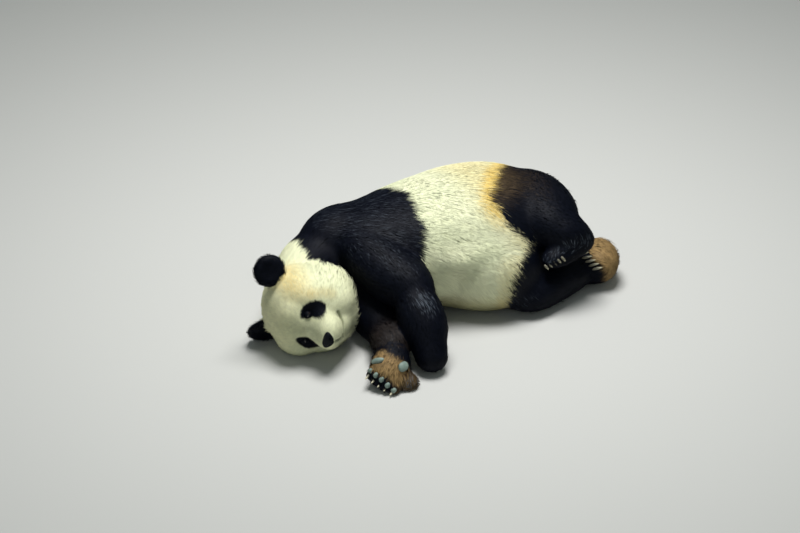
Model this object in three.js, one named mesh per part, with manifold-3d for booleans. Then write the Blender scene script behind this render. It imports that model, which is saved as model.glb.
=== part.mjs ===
// A giant panda asleep on its right side, life size, as closed solids that meet with thin gaps.
// Millimetres, +Z up. The floor is z = 0, and the origin is on it under the middle of the trunk.
// -X points to the head, +X to the rump, -Y to the belly and +Y to the back. The left side is up.
import * as THREE from "three";
import { mergeVertices } from "three/addons/utils/BufferGeometryUtils.js";
import Module from "manifold-3d";

const wasm = await Module();
wasm.setup();

// ---------------------------------------------------------------- driving dimensions
const headWidth = 300; // over the cheeks, out to the tips of the coat
const earHalves = [55, 64]; // half widths of the left ear and of the right, which is pressed flat
const eyeSpacing = 104;
const eyeRadius = 12;
const clawThickness = 9;
const toesPerPaw = 5;
const partGap = 0.4; // clearance between two parts that meet
const sameCorner = 1e-3;

// Where the limbs bend, as points inside them.
const left = {
  shoulder: [-290, -20, 262],
  elbow: [-238, -300, 190],
  wrist: [-268, -430, 82],
  knuckles: [-272, -464, 40],
  hip: [352, 10, 258],
  knee: [318, -262, 262],
  hock: [418, -284, 212],
  toes: [274, -312, 190],
};
const right = {
  shoulder: [-300, -20, 100],
  elbow: [-330, -275, 60],
  wrist: [-372, -378, 76],
  knuckles: [-420, -440, 54],
  hip: [340, 10, 110],
  knee: [168, -300, 64],
  hock: [468, -218, 64],
  toes: [472, -282, 94],
};
const neckBase = [-330, 80, 168];
const tailRoot = [440, 118, 215];
const tailTip = [505, 70, 118];

// ---------------------------------------------------------------- colours
const creamFur = () => new THREE.MeshStandardMaterial({ color: 0xe9e2c4, roughness: 0.85 });
const blackFur = () => new THREE.MeshStandardMaterial({ color: 0x17161a, roughness: 0.8 });
const eyeGloss = () => new THREE.MeshStandardMaterial({ color: 0x120c09, roughness: 0.15 });
const noseLeather = () => new THREE.MeshStandardMaterial({ color: 0x15151a, roughness: 0.45 });
const clawHorn = () => new THREE.MeshStandardMaterial({ color: 0xcfc6a4, roughness: 0.4 });

// ---------------------------------------------------------------- shapes
const vec = (p) => new THREE.Vector3(...p);

// The closed solid of a geometry, once its corners are shared.
function solidOf(geometry) {
  geometry.deleteAttribute("normal");
  geometry.deleteAttribute("uv");
  const merged = mergeVertices(geometry, sameCorner);
  return new wasm.Manifold(
    new wasm.Mesh({
      numProp: 3,
      vertProperties: merged.attributes.position.array,
      triVerts: new Uint32Array(merged.index.array),
    }),
  );
}

// A round body along a smooth axis. Each station gives a point of the axis and the half sizes
// across it, sideways and towards "up". Fullness blunts the two ends, and squareness fills the
// corners of the cross-section; 2 is an ellipse for both. The body can be grown on all sides.
function roundBody(body, grow) {
  const { stations, up = [0, 0, 1], fullness = 2.6, squareness = 2, rings = 9, sides = 12 } = body;
  const axis = new THREE.CatmullRomCurve3(stations.map((s) => vec(s.at)));
  const halves = new THREE.CatmullRomCurve3(stations.map((s) => vec([...s.half, 0])));
  const geometry = new THREE.SphereGeometry(1, sides, rings);
  const corners = geometry.attributes.position;
  for (let i = 0; i < corners.count; i++) {
    const unit = new THREE.Vector3().fromBufferAttribute(corners, i);
    const along = THREE.MathUtils.clamp(unit.y, -1, 1);
    const t = (1 - along) / 2;
    const closing = Math.pow(Math.max(0, 1 - Math.pow(Math.abs(along), fullness)), 1 / fullness);
    const turn = Math.atan2(unit.z, unit.x);
    const filling = Math.pow(
      Math.pow(Math.abs(Math.cos(turn)), squareness) + Math.pow(Math.abs(Math.sin(turn)), squareness),
      -1 / squareness,
    );
    const forward = axis.getTangent(t);
    const side = new THREE.Vector3().crossVectors(vec(up), forward).normalize();
    const rise = new THREE.Vector3().crossVectors(forward, side);
    const half = halves.getPoint(t);
    const corner = axis.getPoint(t);
    corner.addScaledVector(side, (half.x + grow) * closing * filling * Math.cos(turn));
    corner.addScaledVector(rise, (half.y + grow) * closing * filling * Math.sin(turn));
    corner.addScaledVector(forward, -grow * along);
    corners.setXYZ(i, corner.x, corner.y, corner.z);
  }
  return solidOf(geometry);
}

// An ellipsoid placed and turned in a frame.
function oval({ frame, at, half, turn = [0, 0, 0], rings = 9, sides = 14 }, grow) {
  const geometry = new THREE.SphereGeometry(1, sides, rings);
  geometry.scale(half[0] + grow, half[1] + grow, half[2] + grow);
  geometry.applyMatrix4(new THREE.Matrix4().makeRotationFromEuler(new THREE.Euler(...turn)));
  geometry.translate(...at);
  geometry.applyMatrix4(frame);
  return solidOf(geometry);
}

// A frame with its X axis forward and its Z axis as near to up as it can be.
function frameAt(at, forward, up) {
  const x = vec(forward).normalize();
  const y = new THREE.Vector3().crossVectors(vec(up), x).normalize();
  const z = new THREE.Vector3().crossVectors(x, y);
  return new THREE.Matrix4().makeBasis(x, y, z).setPosition(...at);
}

const standing = new THREE.Matrix4();
const between = (a, b, share) => vec(a).lerp(vec(b), share).toArray();
const shifted = (p, dx, dy, dz) => [p[0] + dx, p[1] + dy, p[2] + dz];

// ---------------------------------------------------------------- trunk and neck
const trunk = (grow) => [
  roundBody({
    stations: [
      { at: [-450, 92, 165], half: [120, 118] },
      { at: [-330, 75, 172], half: [180, 172] },
      { at: [-170, 22, 182], half: [232, 192] },
      { at: [0, 0, 190], half: [262, 202] },
      { at: [150, -6, 190], half: [282, 208] },
      { at: [310, 8, 184], half: [268, 204] },
      { at: [485, 25, 165], half: [190, 168] },
    ],
    fullness: 3,
    squareness: 2.15,
    rings: 18,
    sides: 20,
  }, grow),
  // The withers, the belly that sags forward onto the floor, and the flank above it.
  oval({ frame: standing, at: [-272, 90, 214], half: [184, 142, 132], turn: [0, 0.18, 0] }, grow),
  oval({ frame: standing, at: [90, -205, 224], half: [215, 90, 78], rings: 8, sides: 12 }, grow),
  roundBody({
    stations: [
      { at: [-160, -60, 150], half: [130, 140] },
      { at: [10, -112, 145], half: [160, 146] },
      { at: [150, -178, 138], half: [172, 142] },
      { at: [285, -146, 138], half: [118, 124] },
    ],
    squareness: 2.3,
    rings: 12,
    sides: 16,
  }, grow),
];

const neck = (grow) => [
  roundBody({
    stations: [
      { at: [-545, -40, 158], half: [104, 116] },
      { at: [-490, 15, 166], half: [106, 112] },
      { at: [-420, 62, 170], half: [124, 122] },
      { at: neckBase, half: [140, 140] },
    ],
    fullness: 3,
  }, grow),
];

// ---------------------------------------------------------------- head
// X is forward along the face, Y to the animal's left and Z to its crown.
const headFrame = frameAt([-548, -115, 156], [-0.234, -0.965, -0.119], [-0.97, 0.225, 0.091]);
const faceMiddle = -15; // the face's mid plane, in Y, pressed towards the floor side
const muzzleMiddle = -10;
const headHalf = headWidth / 2;

const headOval = (at, half, rings = 8, sides = 11) => (grow) =>
  oval({ frame: headFrame, at, half, rings, sides }, grow);
const cheek = (side) => headOval([12, faceMiddle + side * 58, -52], [104, headHalf - 58, 98]);
const headOvals = [
  headOval([-20, faceMiddle, 13], [138, headHalf - 12, 123], 11, 16), // braincase
  headOval([45, faceMiddle, 44], [80, 98, 74]), // forehead
  headOval([2, faceMiddle + 70, 12], [96, 72, 82]), // the upper temple
  headOval([12, faceMiddle - 75, 20], [102, 75, 82]), // the temple on the floor
  cheek(1),
  cheek(-1),
  headOval([28, faceMiddle + 46, -70], [98, 90, 82]), // jowls
  headOval([42, faceMiddle - 4, -80], [88, 106, 79]),
  headOval([80, muzzleMiddle, -32], [76, 80, 62]), // root of the muzzle
  headOval([118, muzzleMiddle, -42], [78, 62, 50], 9, 14), // muzzle
  headOval([66, muzzleMiddle, -86], [88, 60, 44]), // chin and throat
];
const head = (grow) => headOvals.map((part) => part(grow));

const ear = (at, half) => (grow) => [
  oval({
    frame: headFrame,
    at,
    half: [20, half, half],
    turn: [0, 0, Math.sign(at[1]) * 0.5],
    sides: 12,
  }, grow),
];

const eyeAt = (side) => [103, faceMiddle + (side * eyeSpacing) / 2, 22];
const eye = (side) => (grow) => [headOval(eyeAt(side), [eyeRadius, eyeRadius, eyeRadius], 6, 10)(grow)];
const nose = (grow) => [headOval([184, muzzleMiddle + 4, -29], [15, 29.5, 17.5], 6, 10)(grow)];

// ---------------------------------------------------------------- limbs
// The flesh of a limb runs past the bend at each of its ends by a share of its thickness there.
const pastTheBend = 0.55;
function beyond(at, inner, across) {
  const outwards = vec(at).sub(vec(inner)).normalize();
  return vec(at).addScaledVector(outwards, across * pastTheBend).toArray();
}

const limbBody = (up, ...steps) => (grow) => {
  const stations = steps.map(([at, across, high]) => ({ at, half: [across, high] }));
  const last = stations.length - 1;
  const start = beyond(steps[0][0], steps[1][0], steps[0][1]);
  const end = beyond(steps[last][0], steps[last - 1][0], steps[last][1]);
  stations[0] = { ...stations[0], at: start };
  stations[last] = { ...stations[last], at: end };
  return [roundBody({ stations, up }, grow)];
};
const limb = (...steps) => limbBody([0, 0, 1], ...steps);

const palmOut = [-0.3, -0.55, 0.78]; // the way the right forepaw's palm faces
const soleOut = [0.81, 0, 0.59]; // the way the right hind sole faces

// The toes of the right forepaw, in a frame with X towards them and Z to the back of the paw.
const palmFrame = frameAt(right.knuckles, [-0.81, -0.28, -0.51], palmOut.map((c) => -c));
const toeSpacing = 23.5;
const toeRow = { reach: 61, aside: -10, down: -13, half: [24, 14, 19] };
const toeOvals = (grow) =>
  Array.from({ length: toesPerPaw }, (unused, toe) => {
    const offset = toe - (toesPerPaw - 1) / 2;
    const at = [toeRow.reach - 2 * offset ** 2, offset * toeSpacing + toeRow.aside, toeRow.down];
    return oval({ frame: palmFrame, at, half: toeRow.half, rings: 5, sides: 7 }, grow);
  });
const fleshOfLimbs = {
  upper_arm_left: limb(
    [left.shoulder, 112, 90],
    [between(left.shoulder, left.elbow, 0.6), 106, 90],
    [shifted(left.elbow, 14, 8, 16), 84, 80],
  ),
  forearm_left: limb(
    [shifted(left.elbow, -10, 0, 0), 82, 76],
    [between(left.elbow, left.wrist, 0.55), 80, 74],
    [left.wrist, 64, 62],
  ),
  forepaw_left: limb([shifted(left.wrist, 0, 10, 4), 58, 54], [left.knuckles, 56, 50]),
  upper_arm_right: limb(
    [right.shoulder, 95, 86],
    [between(right.shoulder, right.elbow, 0.55), 88, 80],
    [right.elbow, 72, 68],
  ),
  forearm_right: limb(
    [shifted(right.elbow, 6, 10, 0), 72, 68],
    [between(right.elbow, right.wrist, 0.5), 72, 64],
    [right.wrist, 62, 54],
  ),
  forepaw_right: (grow) => [
    ...limbBody(
      palmOut,
      [shifted(right.wrist, 0, 2, 2), 58, 46],
      [right.knuckles, 68, 44],
      [shifted(right.knuckles, -36, -14, -18), 58, 36],
    )(grow),
    ...toeOvals(grow),
    // The long hair at its outer edge, spread on the floor.
    oval({ frame: standing, at: [-382, -488, 16], half: [54, 56, 30], turn: [0, 0, 0.5] }, grow),
  ],
  thigh_left: limb(
    [left.hip, 150, 112],
    [between(left.hip, left.knee, 0.5), 138, 104],
    [left.knee, 96, 86],
  ),
  shank_left: limb(
    [shifted(left.knee, 2, 0, -6), 82, 78],
    [between(left.knee, left.hock, 0.55), 76, 68],
    [shifted(left.hock, -4, 0, 8), 50, 43],
  ),
  hindpaw_left: limb(
    [shifted(left.hock, 2, -16, 4), 48, 41],
    [between(left.hock, left.toes, 0.5), 54, 42],
    [shifted(left.toes, -14, -4, -3), 50, 37],
  ),
  thigh_right: limb(
    [right.hip, 130, 104],
    [between(right.hip, right.knee, 0.55), 118, 92],
    [right.knee, 84, 70],
  ),
  shank_right: limb(
    [shifted(right.knee, 6, -8, 0), 80, 68],
    [between(right.knee, right.hock, 0.5), 82, 68],
    [right.hock, 78, 70],
  ),
  hindpaw_right: limbBody(
    soleOut,
    [shifted(right.hock, 56, 38, 8), 62, 76],
    [shifted(right.hock, 38, -24, 6), 66, 74],
    [shifted(right.toes, 6, -4, -10), 62, 64],
  ),
};
const tail = limb([tailRoot, 50, 46], [between(tailRoot, tailTip, 0.6), 50, 44], [tailTip, 34, 32]);

// ---------------------------------------------------------------- claws
// Five curved claws fan out over the end of a paw. Its frame has X towards the toes and Z to its back.
// The slope carries each claw further out than the one before it, as the end of a tilted paw does.
function claws({ frame, length, spread, fan, reach, drop, aside = 0, slope = 0 }) {
  return Array.from({ length: toesPerPaw }, (unused, toe) => (grow) => {
    const offset = toe - (toesPerPaw - 1) / 2;
    const angle = offset * fan;
    const outward = (distance, lift) => [
      (reach + slope * offset + distance) * Math.cos(angle),
      offset * spread + aside + distance * Math.sin(angle),
      lift - drop,
    ];
    const stations = [
      [outward(-length * 0.35, length * 0.12), clawThickness * 0.5],
      [outward(length * 0.3, length * 0.08), clawThickness * 0.5],
      [outward(length * 0.7, -length * 0.12), clawThickness * 0.3],
      [outward(length * 0.95, -length * 0.34), clawThickness * 0.12],
    ];
    const placed = stations.map(([at, half]) => ({
      at: vec(at).applyMatrix4(frame).toArray(),
      half: [half, half],
    }));
    return [roundBody({ stations: placed, fullness: 3, rings: 4, sides: 5 }, grow)];
  });
}

const pawClaws = {
  forepaw_left: claws({
    frame: frameAt(shifted(left.knuckles, 0, 0, -16), [0.35, 0.93, 0], [0, 0, -1]),
    length: 42, spread: 19, fan: 0.1, reach: 50, drop: 0,
  }),
  forepaw_right: claws({
    frame: palmFrame,
    length: 26, spread: toeSpacing, fan: 0, reach: 68, drop: 19, aside: toeRow.aside,
  }),
  hindpaw_left: claws({
    frame: frameAt([261, -338, 193], [0.35, -0.7, -0.62], [-0.542, -0.692, 0.475]),
    length: 18, spread: 15, fan: 0, reach: 5, drop: -6, slope: 4,
  }),
  hindpaw_right: claws({
    frame: frameAt([448, -285, 113], [0.608, -0.672, 0.421], [-0.79, -0.462, 0.4]),
    length: 26, spread: 15, fan: 0, reach: -8, drop: -4, slope: -9,
  }),
};

// ---------------------------------------------------------------- parting
// Each part is cut back from the ones before it in this list, so the first keep their whole shape.
const parts = [
  ["eye_left", eye(1), eyeGloss()],
  ["eye_right", eye(-1), eyeGloss()],
  ["nose", nose, noseLeather()],
  ["trunk", trunk, creamFur()],
  ["head", head, creamFur()],
  ["ear_left", ear([-36, 120, 121], earHalves[0]), blackFur()],
  ["ear_right", ear([-36, -118, 110], earHalves[1]), blackFur()],
  ["neck", neck, creamFur()],
  ...Object.entries(fleshOfLimbs).map(([name, masses]) => [name, masses, blackFur()]),
  ["tail", tail, creamFur()],
  ...Object.entries(pawClaws).flatMap(([paw, masses]) =>
    masses.map((claw, toe) => [`claw_${paw}_${toe + 1}`, claw, clawHorn()])),
];

const joined = (solids) => solids.reduce((a, b) => a.add(b));
const largest = (solid) => solid.decompose().reduce((a, b) => (a.volume() > b.volume() ? a : b));

const floorReach = 3000;
const floorGeometry = new THREE.BoxGeometry(floorReach, floorReach, floorReach);
floorGeometry.translate(0, 0, -floorReach / 2);
const floor = solidOf(floorGeometry);

function geometryOf(solid) {
  const mesh = solid.getMesh();
  const geometry = new THREE.BufferGeometry();
  geometry.setAttribute("position", new THREE.BufferAttribute(new Float32Array(mesh.vertProperties), 3));
  geometry.setIndex(new THREE.BufferAttribute(new Uint32Array(mesh.triVerts), 1));
  return geometry;
}

const panda = new THREE.Group();
let taken = floor;
for (const [name, masses, material] of parts) {
  const solid = largest(joined(masses(0)).subtract(taken));
  const mesh = new THREE.Mesh(geometryOf(solid), material);
  mesh.name = name;
  panda.add(mesh);
  taken = taken.add(joined(masses(partGap)));
}

export default panda;
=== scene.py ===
import math

import bmesh
import bpy
import numpy as np
from mathutils import Matrix, Vector
from mathutils.bvhtree import BVHTree


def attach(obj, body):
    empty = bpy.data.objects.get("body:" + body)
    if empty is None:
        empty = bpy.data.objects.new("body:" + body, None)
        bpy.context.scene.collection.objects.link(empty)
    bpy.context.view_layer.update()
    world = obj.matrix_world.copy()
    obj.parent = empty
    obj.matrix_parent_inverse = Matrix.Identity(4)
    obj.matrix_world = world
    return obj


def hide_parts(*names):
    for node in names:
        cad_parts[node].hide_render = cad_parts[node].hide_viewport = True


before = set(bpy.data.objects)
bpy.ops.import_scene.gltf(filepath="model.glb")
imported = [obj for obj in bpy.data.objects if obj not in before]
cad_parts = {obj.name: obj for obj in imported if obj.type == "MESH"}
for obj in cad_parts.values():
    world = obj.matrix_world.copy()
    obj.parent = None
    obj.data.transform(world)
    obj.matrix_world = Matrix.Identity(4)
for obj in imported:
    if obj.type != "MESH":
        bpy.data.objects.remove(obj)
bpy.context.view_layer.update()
print("frame loaded")

scene = bpy.context.scene
chance = np.random.default_rng(7)

# The places where the limbs bend, in metres, as the solids have them.
left = {
    "shoulder": (-0.290, -0.020, 0.262), "elbow": (-0.238, -0.300, 0.190),
    "wrist": (-0.268, -0.430, 0.082), "knuckles": (-0.272, -0.464, 0.040),
    "hip": (0.352, 0.010, 0.258), "knee": (0.318, -0.262, 0.262),
    "hock": (0.418, -0.284, 0.212), "toes": (0.274, -0.312, 0.190),
}
right = {
    "shoulder": (-0.300, -0.020, 0.100), "elbow": (-0.330, -0.275, 0.060),
    "wrist": (-0.372, -0.378, 0.076), "knuckles": (-0.420, -0.440, 0.054),
    "hip": (0.340, 0.010, 0.110), "knee": (0.168, -0.300, 0.064),
    "hock": (0.468, -0.218, 0.064), "toes": (0.472, -0.282, 0.094),
}
neckBase = (-0.330, 0.080, 0.168)
tailRoot = (0.440, 0.118, 0.215)
tailTip = (0.505, 0.070, 0.118)
palmOut = (-0.30, -0.55, 0.78)  # the way the right forepaw's palm faces
soleOut = (0.81, 0.0, 0.59)  # the way the right hind sole faces


# Small helpers for points and frames.


def unit(v):
    v = np.asarray(v, float)
    return v / np.maximum(np.linalg.norm(v, axis=-1, keepdims=True), 1e-12)


def axesOf(forward, up):
    x = unit(forward)
    y = unit(np.cross(up, x))
    return np.array([x, y, np.cross(x, y)])


def shifted(p, dx, dy, dz):
    return (p[0] + dx, p[1] + dy, p[2] + dz)


def between(a, b, share):
    return tuple(np.asarray(a) + (np.asarray(b) - np.asarray(a)) * share)


def smoothStep(low, high, x):
    t = np.clip((x - low) / (high - low), 0, 1)
    return t * t * (3 - 2 * t)


def alongCurve(points, share):  # a smooth curve through the points
    points = np.asarray(points, float)
    last = len(points) - 1
    place = np.clip(share, 0, 1) * last
    index = np.minimum(place.astype(int), last - 1)
    s = (place - index)[:, None]
    ends = [2 * points[0] - points[1]], points, [2 * points[-1] - points[-2]]
    a, b, c, d = (np.vstack(ends)[index + k] for k in range(4))
    return 0.5 * (2 * b + (c - a) * s + (2 * a - 5 * b + 4 * c - d) * s**2 + (3 * b - a - 3 * c + d) * s**3)


rippleSettings = {"waves": 7, "spread": (0.7, 1.5), "height": 1.6}


def ripple(points, size, seed):  # smooth noise from -1 to 1, with swells of about that size
    pick = np.random.default_rng(seed)
    total = np.zeros(len(points))
    for _ in range(rippleSettings["waves"]):
        way = unit(pick.normal(size=3))
        swell = size * pick.uniform(*rippleSettings["spread"])
        total += np.sin(points @ (way * 2 * math.pi / swell) + pick.uniform(0, 2 * math.pi))
    return total / math.sqrt(rippleSettings["waves"] / 2) / rippleSettings["height"]


def lengths(vectors):
    return np.linalg.norm(vectors, axis=1)


def alongSurface(vectors, normals):  # the part of each that lies along the surface
    return vectors - normals * (vectors * normals).sum(1, keepdims=True)


def swung(vectors, normals, turn):  # turned about the surface's normals
    return vectors * np.cos(turn)[:, None] + np.cross(normals, vectors) * np.sin(turn)[:, None]


def lineDistance(points, line):
    best = np.full(len(points), 1e9)
    for a, b in zip(line[:-1], line[1:]):
        span = b - a
        t = np.clip((points - a) @ span / (span @ span), 0, 1)
        best = np.minimum(best, lengths(points - a - t[:, None] * span))
    return best


# Small helpers for meshes.


def newObject(name, data):
    made = bpy.data.objects.new(name, data)
    scene.collection.objects.link(made)
    return made


def vertsOf(bm):
    return np.array([v.co for v in bm.verts])


def placeVerts(bm, places):
    for vert, place in zip(bm.verts, places):
        vert.co = place


def roundBall(sides, rings):  # a ball of radius 1 and its points
    bm = bmesh.new()
    bmesh.ops.create_uvsphere(bm, u_segments=sides, v_segments=rings, radius=1)
    return bm, vertsOf(bm)


def addTo(whole, bm):
    part = bpy.data.meshes.new("part")
    bm.to_mesh(part)
    bm.free()
    whole.from_mesh(part)
    bpy.data.meshes.remove(part)


def readAll(data, name, width, kind=np.float32):  # a table with a row for each item of the data
    values = np.zeros(len(data) * width, kind)
    data.foreach_get(name, values)
    return values.reshape(-1, width)


def pointsOf(mesh):
    return readAll(mesh.vertices, "co", 3).astype(float)


def normalsOf(mesh):
    return readAll(mesh.vertex_normals, "vector", 3).astype(float)


def edgesOf(mesh):
    return readAll(mesh.edges, "vertices", 2, np.int32)


layerKinds = {1: ("FLOAT", "value"), 3: ("FLOAT_VECTOR", "vector"), 4: ("FLOAT_COLOR", "color")}


def writeLayer(mesh, name, values):  # numbers at each point for a material to read
    values = np.asarray(values, np.float32)
    kind, field = layerKinds[values.size // len(mesh.vertices)]
    layer = mesh.attributes.new(name, kind, "POINT")
    layer.data.foreach_set(field, values.ravel())


# The flesh, form by form.

headSettings = {
    "at": np.array([-0.548, -0.115, 0.156]),
    "axes": axesOf((-0.234, -0.965, -0.119), (-0.970, 0.225, 0.091)),  # forward, left, crown
    "middle": -0.015,  # the face's mid plane, pressed towards the floor side
    "muzzleMiddle": -0.010,
    "ears": {"earLeft": ((-0.036, 0.120, 0.121), 0.055), "earRight": ((-0.036, -0.118, 0.110), 0.064)},
    "earThick": 0.020,
    "earTurn": 0.5,
    "eyeSpacing": 0.104,
    "eyeHeight": 0.022,
    "eyeRadius": 0.0115,
    "eyeFaces": (40, 24),
}
headAt, headAxes, faceMiddle = (headSettings[k] for k in ("at", "axes", "middle"))
muzzleMiddle = headSettings["muzzleMiddle"]


def toHead(points):
    return (points - headAt) @ headAxes.T


def fromHead(points):
    return np.asarray(points) @ headAxes + headAt


# how far the flesh lies under the top of each kind of coat
coatDepth = {
    "trunk": 0.015, "neck": 0.014, "tail": 0.014, "upperLimb": 0.012, "lowerLimb": 0.010, "paw": 0.006,
    "toe": 0.003, "claw": 0, "head": 0.004, "cheek": 0.008, "muzzle": 0.002, "ear": 0.005,
}


def loft(region, stations, coat, up=(0, 0, 1), fullness=2.6, squareness=2, rings=28, sides=36):
    return {"region": region, "stations": stations, "depth": coatDepth[coat], "up": up,
            "fullness": fullness, "squareness": squareness, "rings": rings, "sides": sides}


def limbLoft(region, steps, coat, up=(0, 0, 1)):
    # A limb's flesh runs past the bend at each of its ends by a share of its thickness there.
    pastTheBend = 0.55
    steps = [(np.asarray(at), half) for at, half in steps]

    def beyond(end, inner):
        return end[0] + unit(end[0] - inner[0]) * end[1][0] * pastTheBend

    first, last = beyond(steps[0], steps[1]), beyond(steps[-1], steps[-2])
    stations = [(first, steps[0][1]), *steps[1:-1], (last, steps[-1][1])]
    return loft(region, stations, coat, up)


def oval(region, at, half, coat, axes=np.eye(3), origin=(0, 0, 0), turn=(0, 0, 0)):
    return {"region": region, "at": at, "half": half, "depth": coatDepth[coat], "axes": axes,
            "origin": origin, "turn": turn}


def headOval(region, at, half, coat, turn=(0, 0, 0)):
    return oval(region, at, half, coat, headAxes, headAt, turn)


forms = [
    loft("trunk", [
        ((-0.450, 0.092, 0.165), (0.120, 0.118)),
        ((-0.330, 0.075, 0.172), (0.180, 0.172)),
        ((-0.170, 0.022, 0.182), (0.232, 0.192)),
        ((0.000, 0.000, 0.190), (0.262, 0.202)),
        ((0.150, -0.006, 0.190), (0.282, 0.208)),
        ((0.310, 0.008, 0.184), (0.268, 0.204)),
        ((0.485, 0.025, 0.165), (0.190, 0.168)),
    ], "trunk", fullness=3, squareness=2.15, rings=48, sides=64),
    oval("trunk", (-0.272, 0.090, 0.214), (0.184, 0.142, 0.132), "trunk", turn=(0, 0.18, 0)),
    loft("trunk", [
        ((-0.160, -0.060, 0.150), (0.130, 0.140)),
        ((0.010, -0.112, 0.145), (0.160, 0.146)),
        ((0.150, -0.178, 0.138), (0.172, 0.142)),
        ((0.285, -0.146, 0.138), (0.118, 0.124)),
    ], "trunk", squareness=2.3, rings=36, sides=48),
    oval("trunk", (0.090, -0.205, 0.224), (0.215, 0.090, 0.078), "trunk"),
    loft("neck", [
        ((-0.545, -0.040, 0.158), (0.104, 0.116)),
        ((-0.490, 0.015, 0.166), (0.106, 0.112)),
        ((-0.420, 0.062, 0.170), (0.124, 0.122)),
        (neckBase, (0.140, 0.140)),
    ], "neck", fullness=3),
    headOval("head", (-0.020, faceMiddle, 0.013), (0.138, 0.138, 0.123), "head"),
    headOval("head", (0.045, faceMiddle, 0.044), (0.080, 0.098, 0.074), "head"),
    headOval("head", (0.002, faceMiddle + 0.070, 0.012), (0.096, 0.072, 0.082), "head"),
    headOval("head", (0.012, faceMiddle - 0.075, 0.020), (0.102, 0.075, 0.082), "head"),
    headOval("head", (0.042, faceMiddle - 0.004, -0.080), (0.088, 0.106, 0.079), "cheek"),
    headOval("head", (0.028, faceMiddle + 0.046, -0.070), (0.098, 0.090, 0.082), "cheek"),
    headOval("head", (0.080, muzzleMiddle, -0.032), (0.076, 0.080, 0.062), "muzzle"),
    headOval("head", (0.012, faceMiddle + 0.058, -0.052), (0.104, 0.092, 0.098), "cheek"),
    headOval("head", (0.012, faceMiddle - 0.058, -0.052), (0.104, 0.092, 0.098), "cheek"),
    headOval("head", (0.118, muzzleMiddle, -0.042), (0.078, 0.062, 0.050), "muzzle"),
    headOval("head", (0.066, muzzleMiddle, -0.086), (0.088, 0.060, 0.044), "muzzle"),
    limbLoft("foreLeft", [
        (left["shoulder"], (0.112, 0.090)),
        (between(left["shoulder"], left["elbow"], 0.6), (0.106, 0.090)),
        (shifted(left["elbow"], 0.014, 0.008, 0.016), (0.084, 0.080)),
    ], "upperLimb"),
    limbLoft("foreLeft", [
        (shifted(left["elbow"], -0.010, 0, 0), (0.082, 0.076)),
        (between(left["elbow"], left["wrist"], 0.55), (0.080, 0.074)),
        (left["wrist"], (0.064, 0.062)),
    ], "lowerLimb"),
    limbLoft("pawForeLeft", [
        (shifted(left["wrist"], 0, 0.010, 0.004), (0.058, 0.054)),
        (left["knuckles"], (0.056, 0.050)),
    ], "paw"),
    limbLoft("foreRight", [
        (right["shoulder"], (0.095, 0.086)),
        (between(right["shoulder"], right["elbow"], 0.55), (0.088, 0.080)),
        (right["elbow"], (0.072, 0.068)),
    ], "upperLimb"),
    limbLoft("foreRight", [
        (shifted(right["elbow"], 0.006, 0.010, 0), (0.072, 0.068)),
        (between(right["elbow"], right["wrist"], 0.5), (0.072, 0.064)),
        (right["wrist"], (0.062, 0.054)),
    ], "lowerLimb"),
    limbLoft("pawForeRight", [
        (shifted(right["wrist"], 0, 0.002, 0.002), (0.058, 0.046)),
        (right["knuckles"], (0.068, 0.044)),
        (shifted(right["knuckles"], -0.036, -0.014, -0.018), (0.058, 0.036)),
    ], "paw", up=palmOut),
    limbLoft("hindLeft", [
        (left["hip"], (0.150, 0.112)),
        (between(left["hip"], left["knee"], 0.5), (0.138, 0.104)),
        (left["knee"], (0.096, 0.086)),
    ], "upperLimb"),
    limbLoft("hindLeft", [
        (shifted(left["knee"], 0.002, 0, -0.006), (0.082, 0.078)),
        (between(left["knee"], left["hock"], 0.55), (0.076, 0.068)),
        (shifted(left["hock"], -0.004, 0, 0.008), (0.050, 0.043)),
    ], "lowerLimb"),
    limbLoft("pawHindLeft", [
        (shifted(left["hock"], 0.002, -0.016, 0.004), (0.048, 0.041)),
        (between(left["hock"], left["toes"], 0.5), (0.054, 0.042)),
        (shifted(left["toes"], -0.014, -0.004, -0.003), (0.050, 0.037)),
    ], "paw"),
    limbLoft("hindRight", [
        (right["hip"], (0.130, 0.104)),
        (between(right["hip"], right["knee"], 0.55), (0.118, 0.092)),
        (right["knee"], (0.084, 0.070)),
    ], "upperLimb"),
    limbLoft("hindRight", [
        (shifted(right["knee"], 0.006, -0.008, 0), (0.080, 0.068)),
        (between(right["knee"], right["hock"], 0.5), (0.082, 0.068)),
        (right["hock"], (0.078, 0.070)),
    ], "lowerLimb"),
    limbLoft("pawHindRight", [
        (shifted(right["hock"], 0.056, 0.038, 0.008), (0.062, 0.076)),
        (shifted(right["hock"], 0.038, -0.024, 0.006), (0.066, 0.074)),
        (shifted(right["toes"], 0.006, -0.004, -0.010), (0.062, 0.064)),
    ], "paw", up=soleOut),
    limbLoft("tail", [
        (tailRoot, (0.050, 0.046)),
        (between(tailRoot, tailTip, 0.6), (0.050, 0.044)),
        (tailTip, (0.034, 0.032)),
    ], "tail"),
]
toeNumbers = range(-2, 3)  # counted from the middle toe
toeSettings = {
    "reach": 0.061,
    "arch": 0.002,  # how much further back each toe beside the middle one ends
    "spacing": 0.0235,
    "aside": -0.010,
    "down": -0.013,
    "half": (0.024, 0.0140, 0.019),
    "keepFrom": 0.022,  # the toes keep their shape ahead of this, and this near the knuckles
    "keepWithin": 0.12,
}
palmAxes = axesOf((-0.81, -0.28, -0.51), -np.array(palmOut))  # to the toes, across, to the back of the paw
for toe in toeNumbers:
    spot = (toeSettings["reach"] - toeSettings["arch"] * toe**2,
            toeSettings["spacing"] * toe + toeSettings["aside"], toeSettings["down"])
    forms.append(oval("pawForeRight", spot, toeSettings["half"], "toe", palmAxes, right["knuckles"]))
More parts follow.
